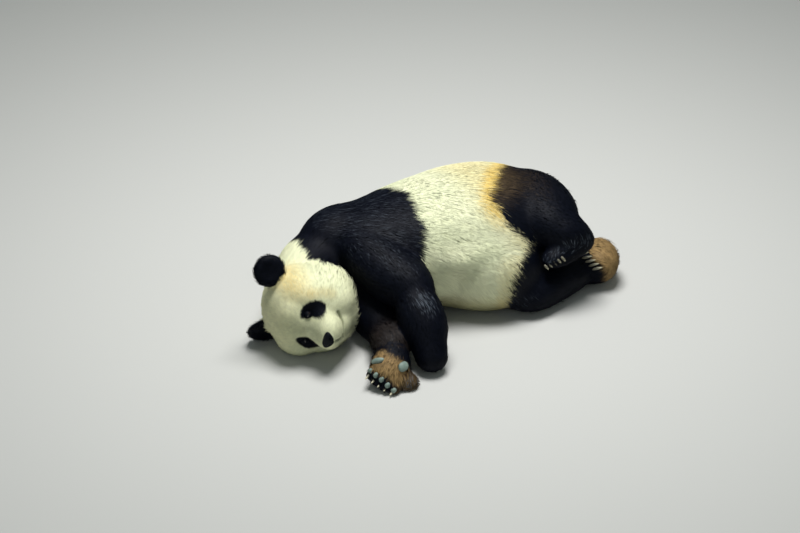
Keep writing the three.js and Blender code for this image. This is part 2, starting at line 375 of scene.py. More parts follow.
# the long hair at the outer edge of the paw
forms.append(oval("pawForeRight", (-0.386, -0.482, 0.016), (0.046, 0.048, 0.024), "paw", turn=(0, 0, 0.5)))
for earRegion, (earAt, earHalf) in headSettings["ears"].items():
    forms.append(headOval(earRegion, earAt, (headSettings["earThick"], earHalf, earHalf), "ear",
                          (0, 0, math.copysign(headSettings["earTurn"], earAt[1]))))
regionNames = sorted({form["region"] for form in forms})


def isIn(region, *names):
    return np.isin(region, [regionNames.index(n) for n in names])


def toPalm(points):
    return (points - np.array(right["knuckles"])) @ palmAxes.T


def turned(turn):
    return np.array(Matrix.Rotation(turn[2], 3, "Z") @ Matrix.Rotation(turn[1], 3, "Y")
                    @ Matrix.Rotation(turn[0], 3, "X"))


def shapeForm(bm, ball, form):  # bends a round ball into the form, drawn in by the depth of its coat
    depth = form["depth"]
    if "stations" in form:
        t = (1 - ball[:, 2]) / 2
        axis, halves = zip(*form["stations"])
        ahead, behind = (alongCurve(axis, t + step) for step in (0.01, -0.01))
        forward = unit(ahead - behind)
        side = unit(np.cross(form["up"], forward))
        rise = np.cross(forward, side)
        half = alongCurve(halves, t) - depth
        full, square = form["fullness"], form["squareness"]
        closing = np.maximum(0, 1 - np.abs(ball[:, 2]) ** full) ** (1 / full)
        turn = np.arctan2(ball[:, 1], ball[:, 0])
        reach = closing * (np.abs(np.cos(turn)) ** square + np.abs(np.sin(turn)) ** square) ** (-1 / square)
        placed = (alongCurve(axis, t) + side * (half[:, 0] * reach * np.cos(turn))[:, None]
                  + rise * (half[:, 1] * reach * np.sin(turn))[:, None]
                  + forward * (depth * ball[:, 2])[:, None])
    else:
        placed = ball * (np.asarray(form["half"]) - depth) @ turned(form["turn"]).T
        placed = (placed + np.asarray(form["at"])) @ form["axes"] + np.asarray(form["origin"])
    placeVerts(bm, placed)


skinSettings = {
    "voxel": 0.0068,
    "ovalFaces": (40, 28),
    "headRounds": 8,
    "headEdge": 4,  # how widely the head's hold on its shape fades out
    "toeHold": 0.8,
    "blendRounds": 34,  # how far creases between forms are softened
    "keepRounds": 40,  # how widely the size lost in softening is given back
    "keepShare": 0.9,
    "floorGap": 0.003,  # the pressed coat under the body
    "floorBend": 0.006,  # how softly the underside turns flat
    # where the face's points lie closer: forward of, within of its middle, above and below
    "finer": ((0.03, 0.115, -0.135, 0.085), (0.07, 0.085, -0.110, 0.050)),
    "eyeFiner": (0.05, 0.017),  # forward of, and around each eye
}


def draftSkin():
    drafts = bmesh.new()
    owner = []
    sides, rings = skinSettings["ovalFaces"]
    for form in forms:
        bm, ball = roundBall(form.get("sides", sides), form.get("rings", rings))
        shapeForm(bm, ball, form)
        bmesh.ops.recalc_face_normals(bm, faces=bm.faces)
        owner += [regionNames.index(form["region"])] * len(bm.faces)
        addTo(drafts, bm)
    tree = BVHTree.FromBMesh(drafts)
    mesh = bpy.data.meshes.new("forms")
    drafts.to_mesh(mesh)
    drafts.free()
    holder = newObject("forms", mesh)
    remesh = holder.modifiers.new("wrap", "REMESH")
    remesh.mode = "VOXEL"
    remesh.voxel_size = skinSettings["voxel"]
    wrapped = bpy.data.meshes.new_from_object(holder.evaluated_get(bpy.context.evaluated_depsgraph_get()))
    bpy.data.objects.remove(holder)
    return wrapped, tree, np.array(owner)


# Each round moves a value halfway to its neighbours' mean, times how free it is to move.
def relax(values, pairs, rounds, free=1):
    count = np.maximum(np.bincount(pairs.ravel(), minlength=len(values)), 1)[:, None]
    values = values.copy()
    for _ in range(rounds):
        total = np.stack([
            np.bincount(pairs[:, 0], values[pairs[:, 1], k], len(values))
            + np.bincount(pairs[:, 1], values[pairs[:, 0], k], len(values))
            for k in range(values.shape[1])], 1)
        values += (total / count - values) / 2 * free
    return values


def keepLargest(bm):
    bm.verts.ensure_lookup_table()
    unseen, best = set(bm.verts), []
    while unseen:
        island, reached = [], [unseen.pop()]
        while reached:
            vert = reached.pop()
            island.append(vert)
            for link in vert.link_edges:
                other = link.other_vert(vert)
                if other in unseen:
                    unseen.remove(other)
                    reached.append(other)
        best = max(best, island, key=len)
    keep = set(best)
    bmesh.ops.delete(bm, geom=[v for v in bm.verts if v not in keep], context="VERTS")


# The face: lids, lips and folds pressed into the skin.

faceSettings = {
    "eyeSeat": 0.0080,  # from the skin down to the middle of an eyeball
    "eyeTilt": math.radians(18),
    "eyeRing": 0.014,  # the ring around an eye that says which way it looks
    "eyeReach": (0.07, 0.06),  # how far around and in front of an eye the skin is pressed
    "lidThick": 0.0016,
    "lidEdge": (1.12, 0.8),  # where the lids rise from the socket, as shares of their radius
    "slitLong": 0.0100,  # half sizes of the opening between the lids
    "slitHigh": 0.0016,
    "slitDrop": 0.001,
    "slitEdge": (0.0009, -0.0003),
    "slitLeast": 0.0004,
    "slitDeep": 0.0016,
    "socketDeep": 0.0080,
    "socketWide": 0.026,
    "lipDeep": 0.0070,
    "lipWide": 0.0042,
    "lipSwell": (0.0014, 0.0065, 0.003),  # height, distance from the line of the lips, and width
    "lipReach": 0.14,
    "lowest": 0.0006,
    "earHollow": 0.008,
    "earFront": (-0.002, 0.006),
    "earRim": (0.040, 0.012),
    "earMiddle": 0.004,
    "earNear": 0.03,
    "earFacing": 0.5,
    "inFront": 0.25,  # a distance well in front of the face
}
lipHalf = np.array([  # from the nose down and out to the corner of the mouth, off the face's middle
    (0.186, 0.000, -0.052), (0.172, 0.000, -0.070), (0.156, 0.001, -0.083), (0.151, 0.014, -0.0875),
    (0.140, 0.030, -0.0880), (0.126, 0.044, -0.0820), (0.111, 0.056, -0.0720),
])
eyeSpots = {side: (faceMiddle + side * headSettings["eyeSpacing"] / 2, headSettings["eyeHeight"])
            for side in (1, -1)}  # left, then right


def eyeDistance(local):  # from the nearer eye, seen from the front
    return np.min([np.hypot(local[:, 1] - across, local[:, 2] - height)
                   for across, height in eyeSpots.values()], axis=0)


def refine(bm, within):  # finer faces where a test on head places holds
    bm.verts.ensure_lookup_table()
    chosen = within(toHead(vertsOf(bm)))
    edges = [e for e in bm.edges if chosen[e.verts[0].index] and chosen[e.verts[1].index]]
    bmesh.ops.subdivide_edges(bm, edges=edges, cuts=1, use_grid_fill=True)
    bm.verts.index_update()


def eyeFrame(tree, side):  # an eye's place on the skin, and its axes outward, across and up
    f = faceSettings
    across, height = eyeSpots[side]

    def struck(dx, dy):  # where a line towards the face meets the skin, and the slope there
        start = fromHead((f["inFront"], across + dx, height + dy))
        return tree.ray_cast(Vector(start), Vector(-headAxes[0]))[:2]

    hit, normal = struck(0, 0)
    slopes = [struck(f["eyeRing"] * math.cos(a), f["eyeRing"] * math.sin(a))[1]
              for a in np.linspace(0, 2 * math.pi, 8, endpoint=False)]
    outward = unit(sum((np.array(n) for n in slopes), np.array(normal)))
    tilt = f["eyeTilt"] * side
    level = headAxes[1] * math.cos(tilt) - headAxes[2] * math.sin(tilt)
    upward = unit(np.cross(outward, level))
    return np.array(hit), np.array([outward, np.cross(upward, outward), upward])


def pressEye(places, middle, axes):  # the socket, the lids and the slit between them
    f = faceSettings
    ball = headSettings["eyeRadius"]
    lid = ball + f["lidThick"]
    local = (places - middle) @ axes.T
    height, across, up = local.T
    r = np.hypot(across, up)
    near = (r < f["eyeReach"][0]) & (np.abs(height) < f["eyeReach"][1])
    flat = height - f["socketDeep"] * np.exp(-(r / f["socketWide"]) ** 2)
    dome = np.sqrt(np.maximum(lid**2 - r**2, 0)) - f["eyeSeat"]
    onLid = smoothStep(lid * f["lidEdge"][0], lid * f["lidEdge"][1], r)
    closed = flat * (1 - onLid) + np.maximum(dome, flat) * onLid
    slit = f["slitHigh"] * np.sqrt(np.maximum(0, 1 - (across / f["slitLong"]) ** 2))
    outer, inner = (slit + edge for edge in f["slitEdge"])
    opening = smoothStep(outer, inner, np.abs(up + f["slitDrop"])) * (slit > f["slitLeast"])
    behind = np.sqrt(np.maximum(ball**2 - r**2, 0)) - f["eyeSeat"] - f["slitDeep"]
    pressed = closed * (1 - opening) + behind * opening
    moved = middle + np.column_stack([pressed, local[:, 1:]]) @ axes
    places[near] = moved[near]


def pressFace(points, normals, eyeFrames, lipLine):
    f = faceSettings
    places = points.copy()
    for middle, axes in eyeFrames:
        pressEye(places, middle, axes)
    near = lengths(points - lipLine[4]) < f["lipReach"]
    away = lineDistance(points[near], lipLine)
    press = f["lipDeep"] * np.exp(-(away / f["lipWide"]) ** 2)
    high, off, wide = f["lipSwell"]
    swell = high * np.exp(-((away - off) / wide) ** 2)
    places[near] += normals[near] * (swell - press)[:, None]
    for middle, _ in headSettings["ears"].values():  # the hollow front of each ear
        side = math.copysign(1, middle[1])
        ahead, across, up = ((toHead(points) - middle) @ turned((0, 0, side * headSettings["earTurn"]))).T
        front = smoothStep(*f["earFront"], ahead) * (np.abs(ahead) < f["earNear"])
        hollow = f["earHollow"] * front * smoothStep(*f["earRim"], np.hypot(across, up - f["earMiddle"]))
        facing = headAxes[0] * math.cos(f["earFacing"]) + headAxes[1] * side * math.sin(f["earFacing"])
        places -= unit(facing) * hollow[:, None]
    places[:, 2] = np.maximum(places[:, 2], f["lowest"])
    return places


def isToe(points):  # on the toes of the right forepaw
    local = toPalm(points)
    return (local[:, 0] > toeSettings["keepFrom"]) & (lengths(local) < toeSettings["keepWithin"])


def softenSkin(bm, wrapped, region):  # blends the forms into one another and gives back the size lost
    s = skinSettings
    pairs = edgesOf(wrapped)
    onHead = isIn(region, "head", "earLeft", "earRight")
    near = relax(onHead[:, None].astype(float), pairs, s["headEdge"])
    places = relax(pointsOf(wrapped), pairs, s["headRounds"])
    free = np.clip(1 - near - s["toeHold"] * isToe(places)[:, None], 0, 1)
    blended = relax(places, pairs, s["blendRounds"], free)
    placeVerts(bm, blended)
    bm.normal_update()
    out = np.array([v.normal for v in bm.verts])
    lost = relax(((places - blended) * out).sum(1)[:, None], pairs, s["keepRounds"])
    places = blended + out * lost * s["keepShare"]
    low = places[:, 2] - s["floorGap"]
    places[:, 2] = s["floorGap"] + 0.5 * (low + np.sqrt(low**2 + s["floorBend"] ** 2)) - s["floorBend"] / 2
    placeVerts(bm, places)


def buildSkin():
    wrapped, formTree, owner = draftSkin()

    def regionsAt(places):
        return np.array([owner[formTree.find_nearest(p)[2]] for p in places.tolist()])

    bm = bmesh.new()
    bm.from_mesh(wrapped)
    keepLargest(bm)
    bm.to_mesh(wrapped)
    softenSkin(bm, wrapped, regionsAt(pointsOf(wrapped)))
    for ahead, aside, above, below in skinSettings["finer"]:
        refine(bm, lambda h: (h[:, 0] > ahead) & (np.abs(h[:, 1] - faceMiddle) < aside)
               & (h[:, 2] > above) & (h[:, 2] < below))
    ahead, around = skinSettings["eyeFiner"]
    refine(bm, lambda h: (h[:, 0] > ahead) & (eyeDistance(h) < around))
    bmesh.ops.triangulate(bm, faces=bm.faces)
    bm.normal_update()
    skin = bpy.data.meshes.new("skin")
    bm.to_mesh(skin)
    tree = BVHTree.FromBMesh(bm)
    eyeFrames = [eyeFrame(tree, side) for side in eyeSpots]
    # one line: out from the middle to each corner, with the philtrum walked down and back between
    mirrored = lipHalf[3:] * (1, -1, 1)
    line = np.vstack([lipHalf[::-1][:5], lipHalf[:3], mirrored]) + (0, muzzleMiddle, 0)
    line = np.array([tree.find_nearest(Vector(p))[0] for p in fromHead(line)])
    placeVerts(bm, pressFace(pointsOf(skin), normalsOf(skin), eyeFrames, line))
    bm.normal_update()
    bm.to_mesh(skin)
    tree = BVHTree.FromBMesh(bm)
    bm.free()
    return skin, tree, regionsAt(pointsOf(skin)), eyeFrames, line


skinMesh, skinTree, skinRegion, eyeFrames, lipLine = buildSkin()
skin = newObject("skin", skinMesh)
print("skin", len(skinMesh.vertices), "points", len(skinMesh.polygons), "faces")

# Markings, shared by the skin and the coat.

markSettings = {
    "neckEdge": -0.478,
    "neckLean": (0.15, 0.03),  # how far it leans back, below this height of the back
    "rumpLimit": 0.085,
    "bellyFrom": -0.25,
    "lowLeg": (-0.20, 0.20),
    "wellIn": 0.05,  # a depth that is all black, or all cream below zero
    "edgeWave": (0.007, 0.6),
    "blur": 0.0045,
    "faceBlur": 0.0015,
    # each eye's patch: from the face's middle, up, half its length and width, and its turn
    "patchLeft": (0.070, 0.008, 0.045, 0.0220, math.radians(-65)),
    "patchRight": (0.056, 0.013, 0.049, 0.0225, math.radians(-63)),
    "patchBow": 0.10,
    "patchWave": 0.0005,
    "patchAhead": 0.02,
    # a darker line over the left eye: the brow's tan, with painted shade of its fold in the grey
    "brow": ((0.074, 0.097, 0.007), (0.078, 0.107, -0.024), (0.086, 0.103, -0.055)),
    "elbow": ((-0.248, -0.377, 0.213), 0.045),  # a painted sheen on the left elbow, and its size
    # the line along the left hind shin and foot where a painted sheen lies
    "paintedShinSheen": ((0.400, -0.335, 0.235), (0.300, -0.345, 0.235), (0.252, -0.325, 0.205)),
    "soleLean": (0.4, 0.09),
    "dirtAndShadeOnBlack": 0.7,
}
# how far back the black of the shoulders reaches, at stations across the body from belly to back
shoulderEdge = {
    "across": (-0.371, -0.300, -0.198, -0.137, -0.062, -0.016, 0.027, 0.059, 0.099, 0.140, 0.260),
    "reach": (-0.203, -0.190, -0.148, -0.128, -0.107, -0.099, -0.096, -0.104, -0.115, -0.124, -0.150),
}
# how far forward the black of the thighs reaches, at stations across the body from belly to back
thighEdge = {
    "across": (-0.340, -0.297, -0.262, -0.239, -0.212, -0.180,
               -0.146, -0.102, -0.061, -0.012, 0.060, 0.110),
    "reach": (0.126, 0.175, 0.191, 0.165, 0.144, 0.136, 0.134, 0.161, 0.198, 0.237, 0.294, 0.378),
}
bellyEdge = {  # the same at the front of the belly, by height
    "height": (0.045, 0.158, 0.226, 0.234, 0.240, 0.246, 0.256, 0.264),
    "reach": (0.088, 0.105, 0.152, 0.190, 0.228, 0.205, 0.196, 0.185),
}
# how strongly each mark shows in its colour
markShares = {
    "black": {"lips": 0.60},
    "brown": {"thigh": 0.20, "arm": 0.04, "palm": 0.80, "fringe": 0.32, "sole": 0.90},
    "yellow": {"thigh": 0.30, "rump": 1.20, "back": 0.40, "crown": 0.12, "leftCrown": 0.50,
               "brow": 0.32, "dust": 0.45},
    "grey": {"elbow": 0.65, "paintedSheen": 0.20, "arm": 0.14, "fringe": 0.50, "paintedShinSheen": 0.40, "brow": 0.096,
             "muzzle": 0.18, "lips": 0.42, "chin": 0.30},
}
# where each mark fades in, from none of it to all of it
markFades = {
    "lipLine": (0.0050, 0.0016), "lipShade": (0.018, 0.004),
    "thighHigh": (0.340, 0.392), "thighDeep": (0.30, 0.06), "thighNear": (-0.10, -0.005),
    "armOut": (-0.22, -0.32), "armHigh": (0.03, 0.08),
    "palmFace": (0.000, -0.020), "palmHeel": (-0.042, -0.018), "palmToes": (0.052, 0.038),
    "palmEdge": (-0.082, -0.055), "fringeOut": (-0.050, -0.080), "fringeToes": (-0.10, -0.06),
    "sole": (-0.008, 0.014), "paintedShinSheen": (0.035, 0.010),
    "backHigh": (0.30, 0.375), "backRear": (0.02, 0.16), "paintedSheenHigh": (0.20, 0.32),
    "crown": (0.02, 0.10), "leftSide": (0.05, 0.11), "leftCrown": (-0.03, 0.06), "brow": (0.030, 0.002),
    "muzzle": (0.085, 0.125), "chinAhead": (0.10, 0.14), "chinLow": (-0.040, -0.058),
    "dustLow": (0.13, 0.04), "dirtAndShadeLow": (0.15, 0.03),
}


def fade(name, values):
    return smoothStep(*markFades[name], values)


def blackDepth(points, region):  # how deep a point lies in the black, below zero outside it
    m = markSettings
    x, y, z = points.T
    high, fine = m["edgeWave"]
    wave = high * (ripple(points, 0.060, 11) + fine * ripple(points, 0.022, 12))
    lean, leanFrom = m["neckLean"]
    saddle = np.minimum(x - m["neckEdge"] - lean * np.minimum(0, y - leanFrom),
                        np.interp(y, shoulderEdge["across"], shoulderEdge["reach"]) - x)
    reach = np.where(y < m["bellyFrom"], np.interp(z, bellyEdge["height"], bellyEdge["reach"]),
                     np.interp(y, thighEdge["across"], thighEdge["reach"]))
    depth = np.maximum(saddle, np.minimum(x - reach, m["rumpLimit"] - y))
    limbs = isIn(region, "foreLeft", "foreRight", "pawForeLeft", "pawForeRight",
                 "pawHindLeft", "pawHindRight", "earLeft", "earRight")
    lowLeg = isIn(region, "hindLeft", "hindRight") & (y < m["lowLeg"][0]) & (z < m["lowLeg"][1])
    depth[limbs | lowLeg] = m["wellIn"]
    depth = depth + wave
    ahead, aside, up = toHead(points).T
    patches = [np.array(m[name])[:, None] for name in ("patchLeft", "patchRight")]
    off, middle, half, thick, turn = np.where(aside > faceMiddle, *patches)
    across = np.abs(aside - faceMiddle) - off
    rise = up - middle
    far = across * np.cos(turn) + rise * np.sin(turn)
    wide = rise * np.cos(turn) - across * np.sin(turn) + m["patchBow"] * far**2 / half
    size = np.hypot(far / half, wide / thick)
    patch = (1 - size) * thick * 0.8 + m["patchWave"] * ripple(points, 0.016, 13)
    patch[ahead < m["patchAhead"]] = -m["wellIn"]
    onHead = isIn(region, "head")
    depth[onHead] = patch[onHead]
    depth[isIn(region, "tail")] = -m["wellIn"]
    return depth


def markingsAt(points, region):  # black, brown, yellow and grey shares
    m = markSettings
    x, y, z = points.T
    local = toHead(points)
    ahead, aside, up = local.T
    toToes, across, toBack = toPalm(points).T
    onHead, onTrunk = isIn(region, "head"), isIn(region, "trunk")
    onPaw = isIn(region, "pawForeRight", "foreRight")
    depth = blackDepth(points, region)
    lips = lineDistance(points, lipLine)
    arm = isIn(region, "foreRight") * fade("armOut", y) * fade("armHigh", z)
    fringe = onPaw * fade("fringeOut", across) * fade("fringeToes", toToes)
    brow = onHead * fade("brow", lineDistance(local, np.array(m["brow"])))

    blur = np.where(onHead, m["faceBlur"], m["blur"])
    share = markShares["black"]
    black = np.maximum(smoothStep(-blur, blur, depth), share["lips"] * fade("lipLine", lips) * onHead)

    share = markShares["brown"]
    # a painted sheen, in brown, on the top of the left thigh where the light falls
    thigh = fade("thighHigh", z) * fade("thighDeep", depth) * (x > 0.1) * isIn(region, "hindLeft", "trunk")
    palm = (onPaw * fade("palmFace", toBack) * fade("palmHeel", toToes) * fade("palmToes", toToes)
            * fade("palmEdge", across))
    lean, leanFrom = m["soleLean"]
    soleSide = (points - right["toes"]) @ unit(soleOut) + lean * np.maximum(0, leanFrom - z)
    sole = isIn(region, "pawHindRight") * fade("sole", soleSide)
    brown = (share["thigh"] * thigh + share["arm"] * arm + share["sole"] * sole
             + np.maximum(share["palm"] * palm, share["fringe"] * fringe))

    share = markShares["yellow"]
    nearThigh = fade("thighNear", depth) * (x > 0.05)
    back = fade("backHigh", z) * fade("backRear", x)
    crown = onHead * (share["crown"] * fade("crown", up)
                      + share["leftCrown"] * fade("leftSide", aside) * fade("leftCrown", up))
    dust = fade("dustLow", z) * ~onHead
    yellow = (np.maximum(nearThigh * (share["thigh"] + share["rump"] * back), share["back"] * back)
              + crown + share["brow"] * brow + share["dust"] * dust)

    share = markShares["grey"]
    # painted sheen: grey tips on the left elbow
    spot, size = m["elbow"]
    elbow = np.exp(-(lengths(points - spot) / size) ** 2)
    # painted sheen: grey tips along the top of the left hind shin and foot
    paintedShinSheen = fade("paintedShinSheen", lineDistance(points, np.array(m["paintedShinSheen"]))) * isIn(region, "hindLeft", "pawHindLeft")
    # darker and greener towards the bottom of the trunk: dirt, and painted shade where the belly nears the
    # floor
    dirtAndShade = fade("dirtAndShadeLow", z) * onTrunk * (1 - m["dirtAndShadeOnBlack"] * black)
    # painted sheen: grey tips on the black fur high on the shoulders and left arm, where the light falls
    # from above
    paintedSheen = fade("paintedSheenHigh", z) * (x < 0) * isIn(region, "trunk", "foreLeft") * black
    # painted shade on the face's cream: over the front of the muzzle, beside the line of the mouth and
    # under the nose
    muzzle = onHead * np.maximum.reduce([
        share["muzzle"] * fade("muzzle", ahead),
        share["lips"] * fade("lipShade", lips),
        share["chin"] * fade("chinAhead", ahead) * fade("chinLow", up)])
    grey = (share["elbow"] * elbow + share["paintedSheen"] * paintedSheen + share["arm"] * arm + share["fringe"] * fringe
            + share["paintedShinSheen"] * paintedShinSheen + share["brow"] * brow + dirtAndShade + muzzle)
    return np.column_stack([black, *np.clip([brown, yellow, grey], 0, 1)])


# The nose, the eyes, the claws and the pads.

noseSettings = {
    "at": (0.184, muzzleMiddle + 0.004, -0.029),
    "half": (0.0148, 0.0295, 0.0175),
    "fullness": 2.6,
    "taper": 0.42,  # how much narrower the foot of the nose is
    "taperFrom": (0.5, -1.0),
    "lean": 0.25,  # how much lower its left wing is
    "nostrilAt": (0.0125, -0.001),
    "nostrilSize": 0.0048,
    "nostrilFlat": 0.62,
    "nostrilLean": 0.25,
    "nostrilDeep": 0.0060,
    "grooveDeep": 0.0020,
    "grooveWide": 0.0013,
    "grooveBelow": (0.004, -0.004),
    "faces": (72, 56),
}


def smoothPiece(name, bm, material, replaced=()):
    bmesh.ops.recalc_face_normals(bm, faces=bm.faces)
    mesh = bpy.data.meshes.new(name)
    bm.to_mesh(mesh)
    bm.free()
    mesh.shade_smooth()
    mesh.materials.append(material)
    piece = newObject(name, mesh)
    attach(piece, "root")
    if replaced:
        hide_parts(*replaced)
    return piece


def noseMesh():
    n = noseSettings
    bm, ball = roundBall(*n["faces"])
    f, l, u = ball.T
    wide = 1 - n["taper"] * smoothStep(*n["taperFrom"], u)
    high = 1 - n["lean"] * l
    full = n["fullness"]
    square = (np.abs(l) ** full + np.abs(u) ** full + np.abs(f) ** full) ** (-1 / full)
    places = np.column_stack([f, l * wide, u * high]) * square[:, None] * n["half"]
    across = np.abs(places[:, 1]) - n["nostrilAt"][0]
    up = places[:, 2] - n["nostrilAt"][1] - n["nostrilLean"] * across
    size = n["nostrilSize"]
    hole = np.exp(-(across / size) ** 2 - (up / (size * n["nostrilFlat"])) ** 2)
    groove = np.exp(-(places[:, 1] / n["grooveWide"]) ** 2) * smoothStep(*n["grooveBelow"], places[:, 2])
    places[:, 0] -= (n["nostrilDeep"] * hole + n["grooveDeep"] * groove) * (f > 0)
    placeVerts(bm, fromHead(places + n["at"]))
    return bm


def eyeMesh(middle, axes):  # an eyeball, and how far each of its points looks forward
    bm, ball = roundBall(*headSettings["eyeFaces"])
    ball = ball[:, [2, 0, 1]]
    placeVerts(bm, middle - axes[0] * faceSettings["eyeSeat"] + ball * headSettings["eyeRadius"] @ axes)
    return bm, ball[:, 0]


# Each paw's claws: the frame points to the toes and to the back of the paw.
clawSettings = {
    "forepaw_left": {
        "at": shifted(left["knuckles"], 0, 0, -0.016), "axes": axesOf((0.35, 0.93, 0), (0, 0, -1)),
        "length": 0.042, "spread": 0.019, "reach": 0.050, "fan": 0.10},
    "forepaw_right": {
        "at": right["knuckles"], "axes": palmAxes,
        "length": 0.026, "spread": 0.0235, "reach": 0.060, "aside": -0.010, "drop": 0.018},
    "hindpaw_left": {
        "at": (0.261, -0.338, 0.193), "axes": axesOf((0.35, -0.70, -0.62), (-0.542, -0.692, 0.475)),
        "length": 0.016, "spread": 0.015, "reach": 0.0025, "drop": 0.0030, "slope": 0.004},
    "hindpaw_right": {
        "at": (0.448, -0.285, 0.113), "axes": axesOf((0.608, -0.672, 0.421), (-0.79, -0.462, 0.40)),
        "length": 0.026, "spread": 0.015, "reach": -0.008, "drop": -0.004, "slope": -0.009},
}
clawShape = {
    "thick": 0.009,
    "faces": (16, 20),
    # along the claw and its rise, as shares of its length, and half its thickness as a share of the whole
    "steps": ((-0.35, 0.12, 0.50), (0.30, 0.08, 0.50), (0.70, -0.12, 0.30), (0.95, -0.34, 0.10)),
}


def clawMesh(settings):  # a paw's claws, and how far along its claw each point lies
    c = {"fan": 0, "aside": 0, "drop": 0, "slope": 0, **settings}
    sides, rings = clawShape["faces"]
    joined = bmesh.new()
    along = []
    for toe in toeNumbers:
        angle = toe * c["fan"]
        stations = []
        for share, rise, thick in clawShape["steps"]:
            out = share * c["length"]
            local = np.array([(c["reach"] + c["slope"] * toe + out) * math.cos(angle),
                              toe * c["spread"] + c["aside"] + out * math.sin(angle),
                              rise * c["length"] - c["drop"]])
            stations.append((np.asarray(c["at"]) + local @ c["axes"], (clawShape["thick"] * thick,) * 2))
        bm, ball = roundBall(sides, rings)
        along.extend((1 - ball[:, 2]) / 2)
        shapeForm(bm, ball, loft("claw", stations, "claw", up=c["axes"][2], fullness=3))
        addTo(joined, bm)
    return joined, along


padSettings = {
    "thick": 0.0105,
    "puff": (0.05, 1.6),
    "faces": (28, 18),
    # places in the palm's frame, half sizes along and across the toes, and a turn
    "pads": [
        ((0.050, 0.040, -0.024), (0.0078, 0.0072), 0),
        ((0.055, 0.017, -0.032), (0.0096, 0.0084), 0),
        ((0.057, -0.007, -0.032), (0.0100, 0.0088), 0),
        ((0.061, -0.033, -0.028), (0.0104, 0.0092), 0),
        ((0.062, -0.058, -0.022), (0.0096, 0.0090), 0),
        ((0.010, 0.043, -0.032), (0.0225, 0.0105), 1.05),  # beside the thumb
        ((-0.022, -0.040, -0.025), (0.0205, 0.0165), 0.30),  # the heel
    ],
}


def padFrames():  # the middle, axes (along, across, outward) and half sizes of each pad
    found = []
    for local, half, turn in padSettings["pads"]:
        start = np.array(right["knuckles"]) + np.array(local) @ palmAxes
        at, normal = skinTree.find_nearest(Vector(start))[:2]
        across = axesOf(palmAxes[0] * math.cos(turn) + palmAxes[1] * math.sin(turn), normal)[1]
        along = unit(np.cross(across, normal))
        found.append((np.array(at), np.array([along, across, np.array(normal)]), half))
    return found


palmPads = padFrames()


def padMesh():
    joined = bmesh.new()
    puff, size = padSettings["puff"]
    for at, axes, half in palmPads:
        bm, ball = roundBall(*padSettings["faces"])
        swell = 1 + puff * ripple(ball, size, 31)
        placeVerts(bm, at + (ball * (*half, padSettings["thick"]) * swell[:, None]) @ axes)
        addTo(joined, bm)
    return joined


# The lie of the coat.

foreBends, hindBends = ("shoulder", "elbow", "wrist", "knuckles"), ("hip", "knee", "hock", "toes")
limbChains = {
    "foreLeft": [left[k] for k in foreBends], "foreRight": [right[k] for k in foreBends],
    "hindLeft": [left[k] for k in hindBends], "hindRight": [right[k] for k in hindBends],
    "tail": [tailRoot, tailTip],
}
chainOf = {"pawForeLeft": "foreLeft", "pawForeRight": "foreRight", "pawHindLeft": "hindLeft",
           "pawHindRight": "hindRight"}
lieSettings = {
    "back": (0.84, -0.50, -0.12),
    "flank": (0.66, -0.66, -0.36),
    "flankFrom": (0.10, -0.12),
    "belly": (0.50, -0.40, -0.77),
    "bellyFrom": (-0.16, -0.30),
    "bellyBelow": (0.26, 0.12),
    "neck": (0.85, 0.30, 0.0),
    "fringe": 1.6,  # how far the hair at the paw's outer edge stands out
    "fringeOut": (-0.025, -0.055),
    "fringeToes": (-0.13, -0.07),
    "noseTip": (0.190, muzzleMiddle, -0.020),
    "earRoot": (-0.030, 0.092, 0.080),
    "rounds": 16,
    "sizeRounds": 14,
    "sways": ((0.26, 0.13, 21), (0.16, 0.04, 22)),  # a turn, its size over the body, and its pattern
    "headSway": 0.4,
}


def lieOfCoat(points, normals, region, pairs):
    s = lieSettings
    y, z = points[:, 1], points[:, 2]
    flank = smoothStep(*s["flankFrom"], y)[:, None]
    belly = (smoothStep(*s["bellyFrom"], y) * smoothStep(*s["bellyBelow"], z))[:, None]
    lie = unit(s["back"]) * (1 - flank) + unit(s["flank"]) * flank
    lie = unit(lie * (1 - belly) + unit(s["belly"]) * belly)
    lie[isIn(region, "neck")] = unit(s["neck"])
    for name in regionNames:
        chain = limbChains.get(chainOf.get(name, name))
        if chain is None:
            continue
        own = isIn(region, name)
        total = np.zeros((own.sum(), 3))
        for a, b in zip(chain[:-1], chain[1:]):
            away = lineDistance(points[own], [np.array(a), np.array(b)])
            total += unit(np.array(b) - a) / (away[:, None] ** 4 + 1e-6)
        lie[own] = unit(total)
    toToes, across, _ = toPalm(points).T
    outer = (isIn(region, "pawForeRight", "foreRight") * smoothStep(*s["fringeOut"], across)
             * smoothStep(*s["fringeToes"], toToes))
    lie = unit(lie - s["fringe"] * outer[:, None] * palmAxes[1])
    local = toHead(points)
    onHead = isIn(region, "head")
    lie[onHead] = unit(local[onHead] - s["noseTip"]) @ headAxes
    for side, name in ((1, "earLeft"), (-1, "earRight")):
        own = isIn(region, name)
        root = np.array(s["earRoot"]) * (1, side, 1)
        lie[own] = unit(local[own] - root) @ headAxes
    flat = relax(alongSurface(lie, normals), pairs, s["rounds"])
    flat = unit(alongSurface(flat, normals))
    turn = sum(far * ripple(points, size, seed) for far, size, seed in s["sways"])
    turn[onHead] *= s["headSway"]
    return swung(flat, normals, turn)


# The coat: closed, tapered locks that lie along the skin.

